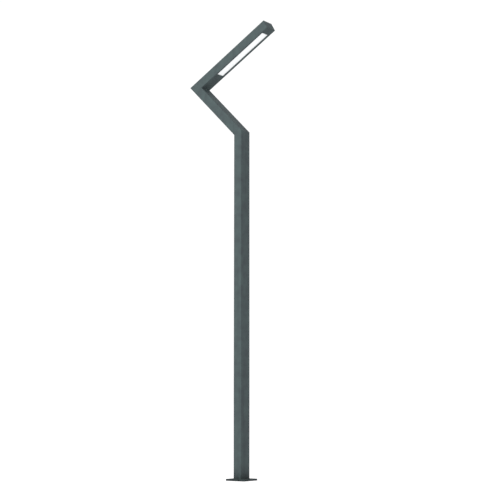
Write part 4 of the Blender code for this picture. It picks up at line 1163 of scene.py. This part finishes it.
flange_x = lock_low.x + FLANGE_T
front, overlap, flange, back = on(lock_at, 0, lock_low.x, flange_x - FLANGE_T / 2, flange_x, lock_high.x)
housing = soften(add_rod("lock_body", front, flange, FLANGE_R, 64), ROUND_EDGE, 3)
weld(housing, add_thread("barrel", overlap, back, BARREL_R, 48))
drill(housing, lock_at, 0, PLUG_BORE, 48)
settle_steel(housing, "lock_housing", body="door")
settle_steel(add_nut("lock_flat_nut", "lock_nut", 0, LOCK_HOLE), "lock_nut", body="door")

front, back, plug_radius = box_ends("lock_plug", 0)
key_plug = add_rod("lock_key_plug", front, back, plug_radius, 48)
socket_ends = on(front, 0, front.x - CUT_OVER, front.x + KEY_DEPTH)
tapping_ends = on(back, 0, back.x - TAPPING_DEPTH, back.x + CUT_OVER)
carve(key_plug, add_rod("socket", *socket_ends, KEY_R, 3), add_rod("tapping", *tapping_ends, CAM_HOLE, 24))
settle_steel(soften(key_plug, FINE_EDGE), "lock_plug", body="lock")

cam = add_slab("lock_cam_pressed", *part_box("lock_cam"), 0, CAM_CORNER)
drill(cam, lock_at, 0, CAM_HOLE)
settle_steel(soften(cam, THIN_EDGE), "lock_cam", body="lock")
add_screw("cam_screw", (-1, 0, 0), CAM_SCREW_SHANK, CAM_SCREW_HEAD, body="lock")

# ------------
# Gear plate. Galvanised sheet on two welded studs inside the pole, behind the door, held off the wall by
# spacers and fixed with nuts. It carries the cut-out and the driver.

PLATE_ROUND = 0.004
STUD_HOLE = 0.0034
STUD_R = 0.003
CUTOUT_SCREWS = ("cutout_screw_near", "cutout_screw_far")
DRIVER_SCREWS = ("driver_screw_lower", "driver_screw_upper")
GEAR_SCREW_SHANK = 0.0019
GEAR_SCREW_HEAD = 0.0022
GEAR_HOLE = 0.0022


def middle_of(node):
    low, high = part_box(node)
    return (low + high) / 2


gear_plate = add_slab("gear_plate_sheet", *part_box("gear_plate"), 0, PLATE_ROUND)
for level in ("lower", "upper"):
    drill(gear_plate, middle_of("plate_stud_" + level), 0, STUD_HOLE)
for node in CUTOUT_SCREWS + DRIVER_SCREWS:
    drill(gear_plate, middle_of(node), 0, GEAR_HOLE)
settle(soften(gear_plate, THIN_EDGE), GALVANISED, "zinc_steel", "gear_plate")

for level in ("lower", "upper"):
    stud_ends = box_ends("plate_stud_" + level, 0)[:2]
    stud = add_thread(f"plate_stud_{level}_threaded", *stud_ends, STUD_R)
    settle_steel(stud, "plate_stud_" + level)
    sleeve = add_rod(f"plate_spacer_{level}_cut", *box_ends("plate_spacer_" + level, 0))
    drill(sleeve, stud_ends[0], 0, STUD_HOLE)
    settle_steel(soften(sleeve, THIN_EDGE), "plate_spacer_" + level)
    node = "plate_nut_" + level
    settle_steel(add_nut(node + "_hex", node, 0, STUD_HOLE), node)
for node in CUTOUT_SCREWS + DRIVER_SCREWS:
    add_screw(node, (1, 0, 0), GEAR_SCREW_SHANK, GEAR_SCREW_HEAD)

# ------------
# Fused cut-out. Moulded grey block where the supply cables end, with two fixing lugs, a parting line
# between base and cover, four cover screws and the deep slot for the fuse carrier.

CUTOUT_HALF = 0.022
CUTOUT_ROUND = 0.003
CASE_EDGE = 0.0008
LUG_T = 0.003
LUG_HALF = 0.007
LUG_INNER = 0.019
SLOT_HALF_Y = 0.015
SLOT_HALF_Z = 0.025
SLOT_DEPTH = 0.025
PARTING_X = 0.010
PARTING_HALF = 0.0004
PARTING_DEPTH = 0.0006
PARTING_CORNER = 0.001
PARTING_ROUND = 0.002
COVER_SCREW = 0.0032
COVER_SCREW_SINK = 0.0012
COVER_SCREW_FIT = 0.85
COVER_SCREW_LEVELS = (0.3, 0.8, 1, 1.5)
COVER_SCREW_Y = 0.0055
COVER_SCREW_Z = 0.007
COVER_SLOT_HALF = 0.0004
RIB_HALF = 0.0008
RIB_COUNT = 6
RIB_PITCH = 0.00384
RIB_TOP_GAP = 0.0025
RIB_FOOT_GAP = 0.004
SHORT_OVER = 0.001
CUTOUT_GREY = (0.36, 0.38, 0.39, 1)

GREY_MOULDING = moulded("grey_thermoset", CUTOUT_GREY, 0.5, (0.27, 0.285, 0.29), 0.46)


def add_parting(piece, low, high, x):
    """Cuts a thin groove round a box-shaped piece, in the plane at this X."""
    over = Vector((0, CUT_OVER, CUT_OVER))
    band_low = Vector((x - PARTING_HALF, low.y, low.z)) - over
    band_high = Vector((x + PARTING_HALF, high.y, high.z)) + over
    border = CUT_OVER + PARTING_DEPTH
    carve(piece, add_ring("groove", band_low, band_high, 0, border, PARTING_CORNER, PARTING_ROUND))


def add_flutes(piece, low, high, axis, count, pitch):
    """Cuts a row of thin flutes into a piece, spread along one axis of a box."""
    centre = (low[axis] + high[axis]) / 2
    for index in range(count):
        place = centre + (index - (count - 1) / 2) * pitch
        start = on(low, axis, place - RIB_HALF)[0]
        end = on(high, axis, place + RIB_HALF)[0]
        carve(piece, add_block("flute", start, end))


def add_lug(piece, back, centre, inner, outer, half, corner, axis):
    """Joins a fixing lug that sticks out of a case along Y or Z (1 or 2)."""
    across = 3 - axis
    ends = sorted([inner, outer])
    low = on(on((back - LUG_T, 0, 0), axis, ends[0])[0], across, centre - half)[0]
    high = on(on((back, 0, 0), axis, ends[1])[0], across, centre + half)[0]
    weld(piece, add_slab("lug", low, high, 0, corner, 4))


block_low, block_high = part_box("fuse_cutout")
slot_at = middle_of("fuse_carrier").z
body_low = Vector((block_low.x, -CUTOUT_HALF, block_low.z))
body_high = Vector((block_high.x, CUTOUT_HALF, block_high.z))
cutout = add_slab("fuse_cutout_moulded", body_low, body_high, 0, CUTOUT_ROUND)
soften(cutout, CASE_EDGE, 3)
add_parting(cutout, body_low, body_high, PARTING_X)
for inner, outer in ((-LUG_INNER, block_low.y), (LUG_INNER, block_high.y)):
    add_lug(cutout, block_high.x, slot_at, inner, outer, LUG_HALF, LUG_T, 1)
slot_half = Vector((SLOT_DEPTH, SLOT_HALF_Y, SLOT_HALF_Z))
slot_mouth = Vector((block_low.x, 0, slot_at))
carve(cutout, add_block("slot", slot_mouth - slot_half, slot_mouth + slot_half))
for node in CUTOUT_SCREWS:
    drill(cutout, middle_of(node), 0, GEAR_HOLE)
for y in (body_low.y + COVER_SCREW_Y, body_high.y - COVER_SCREW_Y):
    for z in (body_low.z + COVER_SCREW_Z, body_high.z - COVER_SCREW_Z):
        levels = [block_low.x + COVER_SCREW_SINK * share for share in COVER_SCREW_LEVELS]
        seat, top, slot, sink, foot = on((0, y, z), 0, block_low.x, *levels)
        carve(cutout, add_rod("sink", seat - Vector((CUT_OVER, 0, 0)), sink, COVER_SCREW, 32))
        head = add_rod("cover_screw", top, foot, COVER_SCREW * COVER_SCREW_FIT, 32)
        slot_size = Vector((0, COVER_SLOT_HALF, COVER_SCREW))
        slot_start = seat - slot_size - Vector((SHORT_OVER, 0, 0))
        carve(head, add_block("driver_slot", slot_start, slot + slot_size))
        mark(head, 1)
        weld(cutout, head)
flutes_low = (block_low.x - SHORT_OVER, body_low.y, body_low.z + RIB_FOOT_GAP)
flutes_high = (block_low.x + PARTING_DEPTH, body_high.y, slot_at - SLOT_HALF_Z - RIB_TOP_GAP)
add_flutes(cutout, flutes_low, flutes_high, 1, RIB_COUNT, RIB_PITCH)
settle(cutout, [GREY_MOULDING, SCREW_STEEL], "grey_plastic", "fuse_cutout")

# ------------
# Fuse carrier. Black moulded drawer that pulls out of the cut-out by its ridged grip, and the cartridge
# fuse in its back: a ceramic tube with nickel-plated caps.

CARRIER_T = 0.022
CARRIER_EDGE = 0.0006
GRIP_ROUND = 0.0015
GRIP_HALF_Y = 0.004
GRIP_HALF_Z = 0.017
GRIP_GROOVES = 7
GROOVE_OUT = 0.00032
GROOVE_START = 0.0008
GROOVE_END = 0.0006
POCKET_HALF_Y = 0.00575
POCKET_HALF_Z = 0.020
CAP_LONG = 0.009
CAP_OVER = 0.001
TUBE_SHARE = 0.93
CERAMIC = (0.78, 0.77, 0.73, 1)
NICKEL = (0.66, 0.62, 0.54, 1)

FUSE_MATERIALS = [
    moulded("ceramic", CERAMIC, 0.25, (0.70, 0.68, 0.62), 0.18, Grain=0.03),
    metal("nickel_plate", NICKEL, 0.25, 1.0, Crystals=700.0, Crystal_Amount=0.1, Shine=0.2),
]

drawer_low, drawer_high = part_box("fuse_carrier")
front = drawer_high.x - CARRIER_T
drawer = add_block("fuse_carrier_moulded", (front, drawer_low.y, drawer_low.z), drawer_high)
soften(drawer, CARRIER_EDGE)
grip_low = (drawer_low.x, -GRIP_HALF_Y, slot_at - GRIP_HALF_Z)
grip_high = (front + GRIP_ROUND, GRIP_HALF_Y, slot_at + GRIP_HALF_Z)
grip = add_slab("grip", grip_low, grip_high, 0, GRIP_ROUND, 4)
soften(grip, THIN_EDGE, angle=50)
for index in range(GRIP_GROOVES):
    z = slot_at + (index - (GRIP_GROOVES - 1) / 2) * GRIP_HALF_Z * 2 / (GRIP_GROOVES + 1)
    for y in (-GRIP_HALF_Y - GROOVE_OUT, GRIP_HALF_Y + GROOVE_OUT):
        ends = on((0, y, z), 0, drawer_low.x + GROOVE_START, front - GROOVE_END)
        carve(grip, add_rod("groove", *ends, RIB_HALF, 12))
weld(drawer, grip)
link_low, link_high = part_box("fuse_link")
pocket_low = (link_low.x - FIT_GAP * 2, -POCKET_HALF_Y, slot_at - POCKET_HALF_Z)
pocket_high = (drawer_high.x + CUT_OVER, POCKET_HALF_Y, slot_at + POCKET_HALF_Z)
carve(drawer, add_block("pocket", pocket_low, pocket_high))
settle(drawer, NYLON, "dark_plastic", "fuse_carrier", body="carrier")

heights = (link_low.z, link_low.z + CAP_LONG, link_high.z - CAP_LONG, link_high.z)
ends = on((link_low + link_high) / 2, 2, *heights)
link_radius = (link_high.y - link_low.y) / 2
fuse = add_rod("fuse_cartridge", ends[0] + UP * CAP_OVER, ends[3] - UP * CAP_OVER, link_radius * TUBE_SHARE)
for start, end in (ends[:2], ends[2:]):
    metal_cap = soften(add_rod("cap", start, end, link_radius), CARRIER_EDGE, 3)
    mark(metal_cap, 1)
    weld(fuse, metal_cap)
settle(fuse, FUSE_MATERIALS, "fuse_ceramic", "fuse_link", body="carrier")

# ------------
# Supply glands. Two nylon glands in the cut-out's underside, through which the supply cables loop in and
# out of the ground.

SUPPLY_HEX = 0.0105
SUPPLY_NUT = 0.006
SUPPLY_NOSE = 0.0085
SUPPLY_BORE = 0.0055

for node in ("supply_gland_in", "supply_gland_out"):
    add_gland(node, 2, -1, (SUPPLY_HEX, SUPPLY_NUT, SUPPLY_NOSE, SUPPLY_BORE))

# ------------
# Driver. The light panel's power supply in a white moulded case, with a lid that snaps on along a groove,
# cooling ribs across its front, two fixing lugs and a gland in its top.

DRIVER_HALF = 0.0265
DRIVER_ROUND = 0.003
DRIVER_LUG_CORNER = 0.0018
DRIVER_LUG_OVERLAP = 0.002
DRIVER_ENDS = 0.009
DRIVER_LID = 0.012
DRIVER_RIBS = 9
DRIVER_RIB_PITCH = 0.00352
DRIVER_RIB_DEPTH = 0.0018
DRIVER_RIB_REACH = 0.7
DRIVER_GLAND_NUT = 0.005
CASE_WHITE = (0.72, 0.73, 0.72, 1)

WHITE_CASE = moulded("white_polycarbonate", CASE_WHITE, 0.4, (0.62, 0.62, 0.58), 0.36, Grain=0.08)

case_low, case_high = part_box("led_driver")
shell_low = Vector((case_low.x, -DRIVER_HALF, case_low.z + DRIVER_ENDS))
shell_high = Vector((case_high.x, DRIVER_HALF, case_high.z - DRIVER_ENDS))
driver_case = add_slab("led_driver_case", shell_low, shell_high, 2, DRIVER_ROUND)
soften(driver_case, CASE_EDGE, 3)
add_parting(driver_case, shell_low, shell_high, shell_high.x - DRIVER_LID)
flutes_low = (case_low.x - SHORT_OVER, -DRIVER_HALF * DRIVER_RIB_REACH, shell_low.z)
flutes_high = (case_low.x + DRIVER_RIB_DEPTH, DRIVER_HALF * DRIVER_RIB_REACH, shell_high.z)
add_flutes(driver_case, flutes_low, flutes_high, 2, DRIVER_RIBS, DRIVER_RIB_PITCH)
inner_ends = shell_low.z + DRIVER_LUG_OVERLAP, shell_high.z - DRIVER_LUG_OVERLAP
for node, inner, outer in zip(DRIVER_SCREWS, inner_ends, (case_low.z, case_high.z)):
    at = middle_of(node)
    add_lug(driver_case, case_high.x, at.y, inner, outer, LUG_HALF, DRIVER_LUG_CORNER, 2)
    drill(driver_case, at, 0, GEAR_HOLE)
settle(driver_case, WHITE_CASE, "driver_white", "led_driver")
add_gland("driver_gland", 2, 1, (GLAND_HEX, DRIVER_GLAND_NUT, GLAND_NOSE, GLAND_BORE))

# ------------
# Earth stud. Brass stud in the pole's side wall, with a brass washer and nut that clamp the plated ring
# terminal crimped on the earth lead.

EARTH_STUD_R = 0.004
EARTH_HOLE = 0.0044
TERMINAL_EDGE = 0.00015
BRASS_YELLOW = (0.62, 0.43, 0.15, 1)
BRASS_FILM = (0.30, 0.19, 0.07, 1)

BRASS = metal(
    "brass", BRASS_YELLOW, 0.3, 0.97, Film=BRASS_FILM, Crystals=500.0, Crystal_Amount=0.15, Shine=0.26
)

stud_ends = box_ends("earth_stud", 1)[:2]
settle(add_thread("earth_stud_threaded", *stud_ends, EARTH_STUD_R), BRASS, "brass", "earth_stud")
washer = add_rod("earth_washer_flat", *box_ends("earth_washer", 1), 48)
drill(washer, stud_ends[0], 1, EARTH_HOLE, 40)
settle(soften(washer, FINE_EDGE), BRASS, "brass", "earth_washer")
settle(add_nut("earth_nut_hex", "earth_nut", 1, EARTH_HOLE), BRASS, "brass", "earth_nut")
settle_steel(refine("earth_terminal", "earth_terminal_crimped", TERMINAL_EDGE), "earth_terminal")

# ------------
# Cables inside the post. Black rubber-sheathed cable from the driver up to the light panel and from the
# cut-out to the driver, and the green and yellow earth lead.

SHEATH = (0.022, 0.022, 0.023, 1)
EARTH_GREEN = (0.03, 0.22, 0.06, 1)
EARTH_YELLOW = (0.78, 0.60, 0.04, 1)
EARTH_DUST = (0.1, 0.1, 0.08, 1)
STRIPE_TURN = 0.35
FACET = 0.01

SHEATHING = moulded("cable_sheath", SHEATH, 0.5, (0.055, 0.053, 0.05), 0.48)


def earth_insulation():
    """Green insulation with a yellow stripe, which the mesh's own attribute marks."""
    material, tree, shader = new_material("earth_insulation", EARTH_GREEN, 0.4)
    stripe = add_node(tree, "ShaderNodeAttribute", attribute_name="stripe").outputs["Fac"]
    cloud = ramp(tree, noise(tree, object_space(tree), 60, 3), 0.3, 0.7, 0.0, 0.15)
    coloured = mixed(tree, ramp(tree, stripe, 0.45, 0.55), EARTH_GREEN, EARTH_YELLOW)
    tree.links.new(mixed(tree, cloud, coloured, EARTH_DUST), shader.inputs["Base Color"])
    tree.links.new(ramp(tree, cloud, 0.0, 0.15, 0.34, 0.46), shader.inputs["Roughness"])
    return material


for node in ("lamp_cable", "driver_lead"):
    cable = refine(node, node + "_sheathed", flat=FACET)
    settle(cable, SHEATHING, "cable_black", node, angle=60)
earth_lead = refine("earth_lead", "earth_lead_striped", flat=FACET)
stripe = earth_lead.data.attributes.new("stripe", "FLOAT", "POINT")
for index, normal in enumerate(earth_lead.data.vertex_normals):
    stripe.data[index].value = 1.0 if normal.vector.x > STRIPE_TURN else 0.0
settle(earth_lead, earth_insulation(), "earth_green", "earth_lead", angle=60)
